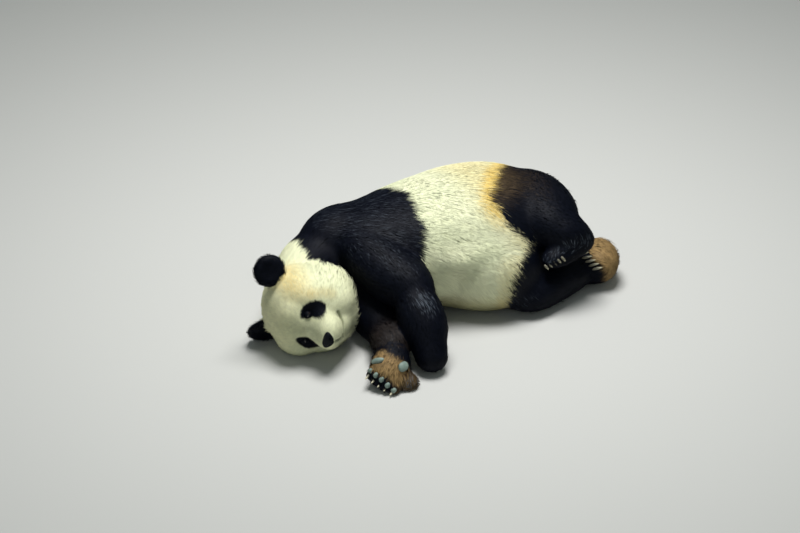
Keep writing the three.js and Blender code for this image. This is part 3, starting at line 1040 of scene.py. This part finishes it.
coatSettings = {
    # region: length, width, gap between roots, height of the tips above the skin
    "trunk": (0.062, 0.0029, 0.0038, 0.0128),
    "neck": (0.044, 0.0031, 0.0039, 0.0130),
    "limb": (0.034, 0.0032, 0.0039, 0.0108),
    "paw": (0.020, 0.0030, 0.0036, 0.0062),
    "head": (0.015, 0.0022, 0.0027, 0.0045),
    "ear": (0.020, 0.0024, 0.0028, 0.0100),
    "tail": (0.044, 0.0040, 0.0045, 0.0135),
}
clumpSettings = {  # region: how wide the clumps are, and how far the tips draw together
    "trunk": (0.016, 0.34), "neck": (0.012, 0.25), "limb": (0.013, 0.30), "paw": (0.010, 0.15),
    "head": (0.009, 0.10), "ear": (0.009, 0.20), "tail": (0.014, 0.40),
}
coatGroups = {
    "head": ("head",), "ears": ("earLeft", "earRight"), "neck": ("neck",), "trunk": ("trunk",),
    "foreleg_left": ("foreLeft", "pawForeLeft"), "foreleg_right": ("foreRight", "pawForeRight"),
    "hindleg_left": ("hindLeft", "pawHindLeft"), "hindleg_right": ("hindRight", "pawHindRight"),
    "tail": ("tail",),
}
lockSettings = {
    "segments": 2,
    "widths": (0.95, 1.0),  # at each ring, as shares of the lock's width
    "rises": (-0.04, 0.68, 0.90),  # height at each ring and the tip, as shares of the coat's
    "ridge": 0.22,  # how high a lock's back stands over its edges, as a share of its width
    "most": 190_000,  # triangles in a piece
    "patch": 0.003,  # a lock's patch on the map
    "lowest": 0.0004,
    "softness": 0.92,  # how far a lock's shading follows the skin's
}
coatShape = {
    "tries": 3.2,  # roots tried for each one kept
    "cell": 1.04,  # the spacing kept between them, as a share of the gap
    "lengths": (0.75, 1.2),
    "widths": (0.75, 1.25),
    "heights": (0.90, 1.04),
    "jitter": 0.08,  # how far the locks turn from the lie
    "strays": {"head": 0.16, "ear": 0.20, "limb": 0.02, "paw": 0.06},  # the share of them that stand out
    "strayLift": 1.8,
    "strayLifts": (0.6, 1.1),
    "longHair": 0.0062,  # the height from which the head's hair counts as long
    "longStrays": 0.14,
    "longLift": 2.5,
    "clumping": ((1, 0.35), (2, 1.0)),  # how much of a clump's pull each ring feels
    "lowest": 0.0026,  # the height of a lock's middle over the floor
    "edgeStray": (0.0075, 0.0040),  # how ragged the markings' edges are, over the hips and elsewhere
    "hipsFrom": 0.05,
    "faceStray": 0.0008,
    "follow": {"head": 1.0},  # how far a lock's colours follow the skin under each point of it
    "otherFollow": 0.5,
    # locks pressed under the body that are left out: below this, facing down, and the share of them
    "hidden": (0.02, -0.6, 0.6),
}


def coatKind(name):
    if name in ("trunk", "neck", "head", "tail"):
        return name
    if name.startswith("ear"):
        return "ear"
    return "paw" if name.startswith("paw") else "limb"


def scatter(corners, chosen, gap):  # evenly spread roots: their faces, and their places in them
    a, b, c = corners[chosen, 0], corners[chosen, 1], corners[chosen, 2]
    area = lengths(np.cross(b - a, c - a)) / 2
    total = np.cumsum(area)
    count = int(total[-1] / gap**2 * coatShape["tries"])
    pick = np.minimum(np.searchsorted(total, chance.uniform(0, total[-1], count)), len(chosen) - 1)
    u, v = chance.uniform(size=(2, count))
    fold = u + v > 1
    u, v = np.where(fold, 1 - u, u), np.where(fold, 1 - v, v)
    share = np.column_stack([1 - u - v, u, v])
    places = (corners[chosen[pick]] * share[:, :, None]).sum(1)
    cells = np.floor(places / (gap * coatShape["cell"])).astype(np.int64)
    kept = np.unique(cells, axis=0, return_index=True)[1]
    return chosen[pick[kept]], share[kept]


faceCorners = readAll(skinMesh.polygons, "vertices", 3, np.int32)
skinPoints, skinNormals, skinEdges = pointsOf(skinMesh), normalsOf(skinMesh), edgesOf(skinMesh)
skinLie = lieOfCoat(skinPoints, skinNormals, skinRegion, skinEdges)
cornerPoints = skinPoints[faceCorners]
faceNormals = unit(skinNormals[faceCorners].sum(1))
faceLie = unit(skinLie[faceCorners].sum(1))
faceRegion = skinRegion[faceCorners[:, 0]]
print("lie of the coat")

sizeSettings = {
    "cheekBack": (0.110, 0.03),
    "cheekLow": (0.00, -0.06),
    "chin": (-0.10, -0.13),
    "lipsClear": (0.010, 0.036),
    "closeLeast": 0.30,  # the hair's length at the eyes, the lips and the nose, as a share
    "closeWithin": 0.110,
    "eyeRim": 0.006,
    "noseRim": 0.012,
    "fringe": (-0.035, -0.065),
    "sole": (0.0, 0.04),
    "hem": (0.10, 0.03),
    # how much longer and higher the hair grows there
    "longer": {"cheek": 2.0, "fringe": 1.8, "sole": 1.1, "hem": 0.3},
    "higher": {"cheek": 1.5, "fringe": 0.9, "sole": 1.0},
}


def furSizes(points, region):  # length, width and height of the locks at each point of the skin
    s = sizeSettings
    sizes = np.array([coatSettings[coatKind(name)] for name in regionNames])[region]
    length, width, _, height = sizes.T
    ahead, _, crown = toHead(points).T
    onHead = isIn(region, "head")
    lips = lineDistance(points, lipLine)
    cheek = smoothStep(*s["cheekBack"], ahead) * smoothStep(*s["cheekLow"], crown)
    cheek = np.maximum(cheek, smoothStep(*s["chin"], crown)) * onHead * smoothStep(*s["lipsClear"], lips)
    eyes = np.min([lengths(points - at) for at, axes in eyeFrames], axis=0)
    nose = lengths(points - fromHead(lieSettings["noseTip"]))
    near = np.minimum.reduce([eyes - s["eyeRim"], lips, nose - s["noseRim"]])
    close = np.where(onHead, np.clip(s["closeLeast"] + near / s["closeWithin"], s["closeLeast"], 1), 1)
    fringe = isIn(region, "pawForeRight") * smoothStep(*s["fringe"], toPalm(points)[:, 1])
    sole = isIn(region, "pawHindRight") * smoothStep(*s["sole"], (points - right["toes"]) @ unit(soleOut))
    hem = isIn(region, "trunk") * smoothStep(*s["hem"], points[:, 2])
    more, up = s["longer"], s["higher"]
    longer = 1 + more["cheek"] * cheek + more["fringe"] * fringe + more["sole"] * sole + more["hem"] * hem
    higher = 1 + up["cheek"] * cheek + up["fringe"] * fringe + up["sole"] * sole
    values = np.column_stack([length * close * longer, width * np.sqrt(close), height * close * higher])
    return relax(values, skinEdges, lieSettings["sizeRounds"])


def growLocks(faces, place, kind):  # each lock's rings and tip, laid over the skin from its root
    s = coatShape
    count, segments = len(faces), lockSettings["segments"]
    root = (cornerPoints[faces] * place[:, :, None]).sum(1)
    length, width, height = faceSizes[faces].T
    length = length * chance.uniform(*s["lengths"], count)
    width = width * chance.uniform(*s["widths"], count)
    share, strayLift = s["strays"].get(kind, 0), s["strayLift"]
    if kind == "head":
        isLong = height > s["longHair"]
        share = np.where(isLong, s["longStrays"], share)
        strayLift = np.where(isLong, s["longLift"], strayLift)
    stands = chance.uniform(size=count) < share
    stray = np.where(stands, strayLift * chance.uniform(*s["strayLifts"], count), 1)
    lift = height * chance.uniform(*s["heights"], count) * stray
    jitter = chance.normal(0, s["jitter"], count) * stray
    normal = faceNormals[faces]
    lie = swung(faceLie[faces], normal, jitter)
    at = root
    spine = [root + normal * (lift * lockSettings["rises"][0])[:, None]]
    sides, ups = [unit(np.cross(lie, normal))], [normal]
    for rise in lockSettings["rises"][1:]:
        ahead = at + lie * (length / segments)[:, None]
        near = [skinTree.find_nearest(p) for p in ahead.tolist()]
        at = np.array([n[0] for n in near])
        face = np.array([n[2] for n in near])
        normal = faceNormals[face]
        lie = unit(lie + swung(faceLie[face], normal, jitter))
        lie = unit(alongSurface(lie, normal))
        spine.append(at + normal * (lift * rise)[:, None])
        sides.append(unit(np.cross(lie, normal)))
        ups.append(normal)
    spine = np.stack(spine, 1)
    size, pull = clumpSettings[kind]
    cells = np.unique(np.floor(root / size).astype(np.int64), axis=0, return_inverse=True)[1].ravel()
    members = np.bincount(cells)
    for ring, strength in s["clumping"]:
        middle = np.stack([np.bincount(cells, spine[:, ring, k]) / members for k in range(3)], 1)
        spine[:, ring] += (middle[cells] - spine[:, ring]) * pull * strength
    spine[:, :, 2] = np.maximum(spine[:, :, 2], s["lowest"])
    sway = chance.uniform(size=len(members))[cells]
    return root, spine, np.stack(sides, 1), np.stack(ups, 1), width, sway


def lockFaces(segments):  # a lock's triangles: its root, its sides and its tip
    edges = ((0, 1), (1, 2), (2, 0))
    tip = segments * 3
    faces = [(0, 1, 2)]
    for low in range(0, tip - 3, 3):
        high = low + 3
        for a, b in edges:
            faces += [(low + a, high + a, low + b), (low + b, high + a, high + b)]
    faces += [(tip - 3 + a, tip, tip - 3 + b) for a, b in edges]
    return np.array(faces)


def perPoint(rings, segments):  # one value for each ring and the tip, given to each of their points
    return np.concatenate([rings[:, :segments].repeat(3, 1), rings[:, segments:]], 1)


def lockMesh(name, spine, sides, ups, width, sway, marks, uv):
    count, segments = len(spine), lockSettings["segments"]
    half = width[:, None] / 2 * np.array(lockSettings["widths"])
    rings = np.empty((count, segments, 3, 3))
    for k in range(segments):
        edge = sides[:, k] * half[:, k, None]
        rings[:, k, 0] = spine[:, k] - edge
        rings[:, k, 1] = spine[:, k] + edge
        rings[:, k, 2] = spine[:, k] + ups[:, k] * (half[:, k, None] * 2 * lockSettings["ridge"])
    verts = np.concatenate([rings.reshape(count, segments * 3, 3), spine[:, -1:]], 1)
    verts[..., 2] = np.maximum(verts[..., 2], lockSettings["lowest"])
    each = segments * 3 + 1
    faces = (lockFaces(segments)[None] + (np.arange(count) * each)[:, None, None]).reshape(-1, 3)
    mesh = bpy.data.meshes.new(name)
    mesh.vertices.add(count * each)
    mesh.vertices.foreach_set("co", verts.astype(np.float32).ravel())
    mesh.loops.add(len(faces) * 3)
    mesh.loops.foreach_set("vertex_index", faces.astype(np.int32).ravel())
    mesh.polygons.add(len(faces))
    mesh.polygons.foreach_set("loop_start", np.arange(0, len(faces) * 3, 3, dtype=np.int32))
    mesh.polygons.foreach_set("use_smooth", np.ones(len(faces), bool))
    mesh.update()
    along = np.append(np.repeat(np.arange(segments) / segments, 3), 1.0)
    across = np.append(np.tile([-0.5, 0.5, 0.0], segments), 0.0)
    spots = uv[:, None] + lockSettings["patch"] * np.stack([across, along - 0.5], 1)[None]
    layer = mesh.uv_layers.new(name="OFBake")
    layer.uv.foreach_set("vector", spots.reshape(-1, 2)[faces.ravel()].astype(np.float32).ravel())
    draw = np.stack([chance.uniform(size=count), sway], 1)[:, None].repeat(each, 1)
    writeLayer(mesh, "lock", np.concatenate([np.tile(along[None, :, None], (count, 1, 1)), draw], 2))
    writeLayer(mesh, "marks", perPoint(marks, segments))
    soft = lockSettings["softness"]
    base = perPoint(ups, segments).reshape(-1, 3)
    mesh.normals_split_custom_set_from_vertices(unit(normalsOf(mesh) * (1 - soft) + base * soft))
    return mesh


def unwrapFaces(faces):  # the chosen skin faces laid out flat on their own
    verts, index = np.unique(faceCorners[faces], return_inverse=True)
    mesh = bpy.data.meshes.new("unwrap")
    mesh.from_pydata(skinPoints[verts], [], index.reshape(-1, 3))
    holder = newObject("unwrap", mesh)
    bpy.ops.object.select_all(action="DESELECT")
    holder.select_set(True)
    bpy.context.view_layer.objects.active = holder
    bpy.ops.object.mode_set(mode="EDIT")
    bpy.ops.mesh.select_all(action="SELECT")
    bpy.ops.uv.smart_project(angle_limit=1.15, island_margin=0.004, scale_to_bounds=True)
    bpy.ops.object.mode_set(mode="OBJECT")
    flat = readAll(mesh.uv_layers.active.uv, "vector", 2)
    bpy.data.objects.remove(holder)
    bpy.data.meshes.remove(mesh)
    return flat.reshape(-1, 3, 2)


bareSettings = {"padRim": 0.0028, "padDeep": 0.02, "eyeLong": 1.25, "eyeRim": 0.0060, "eyeDeep": 0.03,
                "lips": 0.0022, "noseRim": 0.0015}


def isBare(points, kind):  # where no hair grows: on the pads, the eyes, the lips and the nose
    s = bareSettings
    bare = np.zeros(len(points), bool)
    if kind == "paw":
        for at, axes, half in palmPads:
            size = (half[0] + s["padRim"], half[1] + s["padRim"], s["padDeep"])
            bare |= lengths((points - at) @ axes.T / size) < 1
    if kind == "head":
        for at, axes in eyeFrames:
            out, across, up = ((points - at) @ axes.T).T
            bare |= (np.hypot(across / s["eyeLong"], up) < s["eyeRim"]) & (np.abs(out) < s["eyeDeep"])
        bare |= lineDistance(points, lipLine) < s["lips"]
        size = np.array(noseSettings["half"]) + s["noseRim"]
        bare |= lengths((toHead(points) - noseSettings["at"]) / size) < 1
    return bare


faceSizes = furSizes(skinPoints, skinRegion)[faceCorners].mean(1)
coatPieces = []


def growCoat(group, regions):
    chosen = np.flatnonzero(isIn(faceRegion, *regions))
    flat = unwrapFaces(chosen)
    place = np.full(len(faceCorners), -1)
    place[chosen] = np.arange(len(chosen))
    parts = []
    for name in regions:
        kind = coatKind(name)
        own = chosen[isIn(faceRegion[chosen], name)]
        if not len(own):
            continue
        faces, share = scatter(cornerPoints, own, coatSettings[kind][2])
        roots = (cornerPoints[faces] * share[:, :, None]).sum(1)
        low, down, some = coatShape["hidden"]
        hidden = (roots[:, 2] < low) & (faceNormals[faces][:, 2] < down)
        hidden &= chance.uniform(size=len(faces)) < some
        keep = ~hidden & ~isBare(roots, kind)
        faces, share, roots = faces[keep], share[keep], roots[keep]
        grown = growLocks(faces, share, kind)
        stray = np.where(roots[:, 0] > coatShape["hipsFrom"], *coatShape["edgeStray"])
        if kind == "head":
            stray = coatShape["faceStray"]
        spine = grown[1]
        follow = coatShape["follow"].get(kind, coatShape["otherFollow"])
        strayed = chance.normal(0, 1, (len(faces), 3)) * np.reshape(stray, (-1, 1))
        strayed = strayed + spine[:, 1] * (1 - follow)
        marks = np.stack([markingsAt(spine[:, k] * follow + strayed, faceRegion[faces])
                          for k in range(spine.shape[1])], 1)
        uv = (flat[place[faces]] * share[:, :, None]).sum(1)
        parts.append([*grown, marks, uv])
    arrays = [np.concatenate(column) for column in zip(*parts)]
    trianglesEach = 6 * lockSettings["segments"] - 2
    roots, marks = arrays[0], arrays[6]
    for colour, own in (("cream", marks[:, 1, 0] < 0.5), ("black", marks[:, 1, 0] >= 0.5)):
        index = np.flatnonzero(own)
        if not len(index):
            continue
        index = index[np.argsort(roots[index, 0], kind="stable")]
        pieces = math.ceil(len(index) * trianglesEach / lockSettings["most"])
        for number, share in enumerate(np.array_split(index, pieces)):
            label = f"coat_{group}_{colour}" + (f"_{number + 1}" if pieces > 1 else "")
            mesh = lockMesh(label, *[column[share] for column in arrays[1:]])
            piece = newObject(label, mesh)
            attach(piece, "root")
            coatPieces.append((piece, colour))
            print(label, len(share), "locks", len(mesh.polygons), "triangles")


for group, regions in coatGroups.items():
    growCoat(group, regions)
print("coat of", sum(len(p.data.polygons) for p, _ in coatPieces), "triangles")

# Materials.


class Shade:  # a value in a material; sums and products of these add the maths nodes
    def __init__(self, maker, socket):
        self.maker = maker
        self.socket = socket

    def maths(self, operation, a, b):
        return self.maker.add("ShaderNodeMath", {"operation": operation}, {0: a, 1: b})

    def __add__(self, other):
        return self.maths("ADD", self, other)

    def __sub__(self, other):
        return self.maths("SUBTRACT", self, other)

    def __mul__(self, other):
        return self.maths("MULTIPLY", self, other)

    def __rsub__(self, other):
        return self.maths("SUBTRACT", other, self)

    __radd__ = __add__
    __rmul__ = __mul__


class Maker:  # adds nodes to one material
    def __init__(self, name):
        self.material = bpy.data.materials.new(name)
        self.material.use_nodes = True
        self.tree = self.material.node_tree
        self.surface = self.tree.nodes["Principled BSDF"]

    def add(self, kind, settings=None, inputs=None, output=0):
        node = self.tree.nodes.new(kind)
        for key, value in (settings or {}).items():
            setattr(node, key, value)
        self.feed(node, inputs or {})
        return Shade(self, node.outputs[output])

    def feed(self, node, inputs):
        for key, value in inputs.items():
            if isinstance(value, Shade):
                self.tree.links.new(value.socket, node.inputs[key])
            else:
                node.inputs[key].default_value = value

    def finish(self, **inputs):
        self.feed(self.surface, {key.replace("_", " "): value for key, value in inputs.items()})
        return self.material

    def noise(self, scale, detail=3.0, roughness=0.5):
        where = self.add("ShaderNodeTexCoord", output=3)
        return self.add("ShaderNodeTexNoise", None,
                        {"Vector": where, "Scale": scale, "Detail": detail, "Roughness": roughness})

    def attribute(self, name, output=2):
        return self.add("ShaderNodeAttribute", {"attribute_name": name}, output=output)

    def parts(self, vector):
        node = self.tree.nodes.new("ShaderNodeSeparateXYZ")
        self.feed(node, {0: vector})
        return [Shade(self, out) for out in node.outputs]

    def mix(self, share, a, b, blend="MIX"):
        return self.add("ShaderNodeMix", {"data_type": "RGBA", "blend_type": blend},
                        {0: share, 6: a, 7: b}, output=2)

    def steps(self, value, low, high):
        return self.add("ShaderNodeMapRange", {"interpolation_type": "SMOOTHSTEP"},
                        {"Value": value, "From Min": low, "From Max": high})

    def bump(self, height, strength, distance):
        return self.add("ShaderNodeBump", None,
                        {"Height": height, "Strength": strength, "Distance": distance})


def rgb(r, g, b):  # from the eye's 0 to 255 scale to light
    return (*[((v / 255 + 0.055) / 1.055) ** 2.4 if v > 10 else v / 255 / 12.92 for v in (r, g, b)], 1)


# Each root colour is darker than its tip: partly the undercoat's own tone, partly painted shade between the
# locks.
furColours = {
    "creamTip": rgb(240, 241, 204),
    "creamRoot": rgb(214, 216, 168),
    "creamDull": rgb(220, 226, 188),
    "yellowTip": rgb(238, 202, 100),
    "yellowRoot": rgb(202, 160, 72),
    # the colour of dirt and of painted shade on the cream
    "dirtAndShade": rgb(114, 120, 92),
    "blackTip": rgb(8, 12, 25),
    "blackRoot": rgb(3, 6, 13),
    "brownTip": rgb(202, 168, 112),
    "brownRoot": rgb(106, 80, 52),
    "greyTip": rgb(92, 100, 110),
}


furLooks = {
    "dullPatches": (6, 0.35, 0.70, 0.6),  # their scale, where they begin and are full, and their strength
    "rootShare": 0.4,  # how much of the tip's colour a cream root has; the darker root is partly the undercoat's tone, partly painted shade
    "yellow": (0.6, 0.5),  # the least of a mark's colour in a lock, and how much more some locks have
    "brown": (0.60, 0.40),
    "dirtAndShade": 0.75,
    "greyTips": (0.9, 0.35),
    "light": (0.88, 0.11, 0.13),  # the least, and how much more some locks and some clumps have
    "rough": (0.85, 0.27),  # of the cream, and how much glossier the black is
    "specular": 0.11,
    "skinGrain": (900, 420, 90),  # on the skin, in the place of the locks' own draws
}


def furMaterial(name, onLocks):
    m = Maker(name)
    c, s = furColours, furLooks
    black, brown, yellow = m.parts(m.attribute("marks", output=1))
    grey = m.attribute("marks", output=3)
    if onLocks:
        alongLock, draw, clump = m.parts(m.attribute("lock", output=1))
    else:
        alongLock, draw, clump = (m.noise(scale, 2) for scale in s["skinGrain"])
    scale, begin, full, strength = s["dullPatches"]
    tip = m.mix(m.steps(m.noise(scale, 4), begin, full) * strength, c["creamTip"], c["creamDull"])
    cream = m.mix(alongLock * (1 - s["rootShare"]) + s["rootShare"], c["creamRoot"], tip)
    least, more = s["yellow"]
    cream = m.mix(yellow * (least + more * draw), cream, m.mix(alongLock, c["yellowRoot"], c["yellowTip"]))
    cream = m.mix(grey * s["dirtAndShade"], cream, c["dirtAndShade"])
    least, more = s["brown"]
    tan = m.mix(alongLock, c["brownRoot"], c["brownTip"])
    dark = m.mix(brown * (least + more * draw), m.mix(alongLock, c["blackRoot"], c["blackTip"]), tan)
    # grey tips on the black: painted sheen on the shoulders, the left elbow and the left hind shin, and the
    # own grey of the right forearm and its fringe
    strength, edge = s["greyTips"]
    dark = m.mix(m.steps(grey * strength + draw - 1.0, 0.0, edge) * alongLock, dark, c["greyTip"])
    least, perLock, perClump = s["light"]
    light = least + perLock * draw + perClump * clump
    light = m.add("ShaderNodeCombineXYZ", None, {0: light, 1: light, 2: light})
    colour = m.mix(1.0, m.mix(black, cream, dark), light, "MULTIPLY")
    rough, glossier = s["rough"]
    return m.finish(Base_Color=colour, Roughness=rough - glossier * black, Specular_IOR_Level=s["specular"])


furs = {colour: furMaterial(colour + " fur", True) for colour in ("cream", "black")}
for piece, colour in coatPieces:
    piece.data.materials.append(furs[colour])
writeLayer(skinMesh, "marks", markingsAt(skinPoints, skinRegion))
skinMesh.shade_smooth()
skinMesh.materials.append(furMaterial("skin", False))


pieceColours = {
    "leatherDark": rgb(2, 6, 11), "leatherLight": rgb(6, 13, 22),
    "iris": rgb(58, 36, 22), "pupil": rgb(6, 5, 6), "eyeEdge": rgb(40, 26, 22),
    "hornRoot": rgb(112, 108, 92), "hornTip": rgb(206, 200, 170),
    # the pads' leather is dark; this pale blue-grey is a painted reflection of the sky
    "padDark": rgb(88, 106, 100), "padLight": rgb(150, 168, 156),
}


def noseMaterial():
    m = Maker("nose leather")
    grain = m.noise(420, 3, 0.6)
    tone = m.mix(m.noise(60, 2), pieceColours["leatherDark"], pieceColours["leatherLight"])
    return m.finish(Base_Color=tone, Roughness=0.48 + 0.2 * grain, Coat_Weight=0.05,
                    Specular_IOR_Level=0.12, Normal=m.bump(grain, 0.35, 0.0012))


def eyeMaterial():
    m = Maker("eye")
    front = m.attribute("front")
    tone = m.mix(m.steps(front, 0.86, 0.89), pieceColours["iris"], pieceColours["pupil"])
    tone = m.mix(m.steps(front, 0.55, 0.60), pieceColours["eyeEdge"], tone)
    return m.finish(Base_Color=tone, Roughness=0.08, Coat_Weight=1.0)


def clawMaterial():
    m = Maker("claw horn")
    along = m.attribute("along")
    streak = m.noise(160, 3, 0.6)
    outer = m.steps(along + 0.25 * streak, 0.45, 0.95)
    tone = m.mix(outer, pieceColours["hornRoot"], pieceColours["hornTip"])
    return m.finish(Base_Color=tone, Roughness=0.30 + 0.15 * streak, Normal=m.bump(streak, 0.15, 0.0008))


# pale blue-grey pads: a painted reflection of the sky on dark, shiny leather
def padMaterial():
    m = Maker("paw pad")
    grain = m.noise(500, 4, 0.6)
    tone = m.mix(m.noise(70, 3), pieceColours["padDark"], pieceColours["padLight"])
    return m.finish(Base_Color=tone, Roughness=0.42 + 0.2 * grain, Normal=m.bump(grain, 0.5, 0.0012))


smoothPiece("nose_leather", noseMesh(), noseMaterial(), ["nose"])
eyeGloss = eyeMaterial()
for label, (middle, axes) in zip(("eye_left", "eye_right"), eyeFrames):
    ball, front = eyeMesh(middle, axes)
    piece = smoothPiece("ball_" + label, ball, eyeGloss, [label])
    writeLayer(piece.data, "front", front)
clawHorn = clawMaterial()
for paw, settings in clawSettings.items():
    joined, along = clawMesh(settings)
    nodes = [f"claw_{paw}_{number}" for number in range(1, 6)]
    piece = smoothPiece("claws_" + paw, joined, clawHorn, nodes)
    writeLayer(piece.data, "along", along)
smoothPiece("palm_pads", padMesh(), padMaterial())
print("materials")

# Camera, floor and lights.

cameraSettings = {
    "place": (-3.735, -6.247, 4.365),
    "target": (-0.030, 0.170, 0.000),
    "lens": 112.5,
    "sensor": 36,
}
lightSettings = [
    # name, place, target, size, watts, colour
    ("key", (0.10, 0.10, 3.5), (-0.05, 0, 0.2), 1.6, 156, (1, 1, 1)),
    ("fill", (-2.8, -4.2, 2.6), (0, 0, 0.1), 3.4, 20, (0.92, 1.0, 0.97)),
]
roomSettings = {"Color": (0.78, 0.90, 0.89, 1), "Strength": 0.19}
floorSettings = {"half": 12, "colour": rgb(196, 196, 192), "rough": 0.9}


def aim(thing, place, target):
    thing.location = place
    thing.rotation_euler = (Vector(target) - Vector(place)).to_track_quat("-Z", "Y").to_euler()


camera = newObject("camera", bpy.data.cameras.new("camera"))
aim(camera, cameraSettings["place"], cameraSettings["target"])
camera.data.lens = cameraSettings["lens"]
camera.data.sensor_width = cameraSettings["sensor"]
scene.camera = camera
for name, place, target, size, watts, colour in lightSettings:
    lamp = newObject(name, bpy.data.lights.new(name, "AREA"))
    aim(lamp, place, target)
    lamp.data.size = size
    lamp.data.energy = watts
    lamp.data.color = colour
scene.world = bpy.data.worlds.new("studio")
scene.world.use_nodes = True
for key, value in roomSettings.items():
    scene.world.node_tree.nodes["Background"].inputs[key].default_value = value
scene.view_settings.view_transform = "Standard"

floorMesh = bpy.data.meshes.new("floor")
floorBm = bmesh.new()
bmesh.ops.create_grid(floorBm, x_segments=1, y_segments=1, size=floorSettings["half"])
floorBm.to_mesh(floorMesh)
floorBm.free()
floor = newObject("floor", floorMesh)
pale = Maker("pale floor").finish(Base_Color=floorSettings["colour"], Roughness=floorSettings["rough"])
floorMesh.materials.append(pale)

fleshNodes = [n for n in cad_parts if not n.startswith(("eye_", "nose", "claw_"))]
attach(skin, "root")
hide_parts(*fleshNodes)
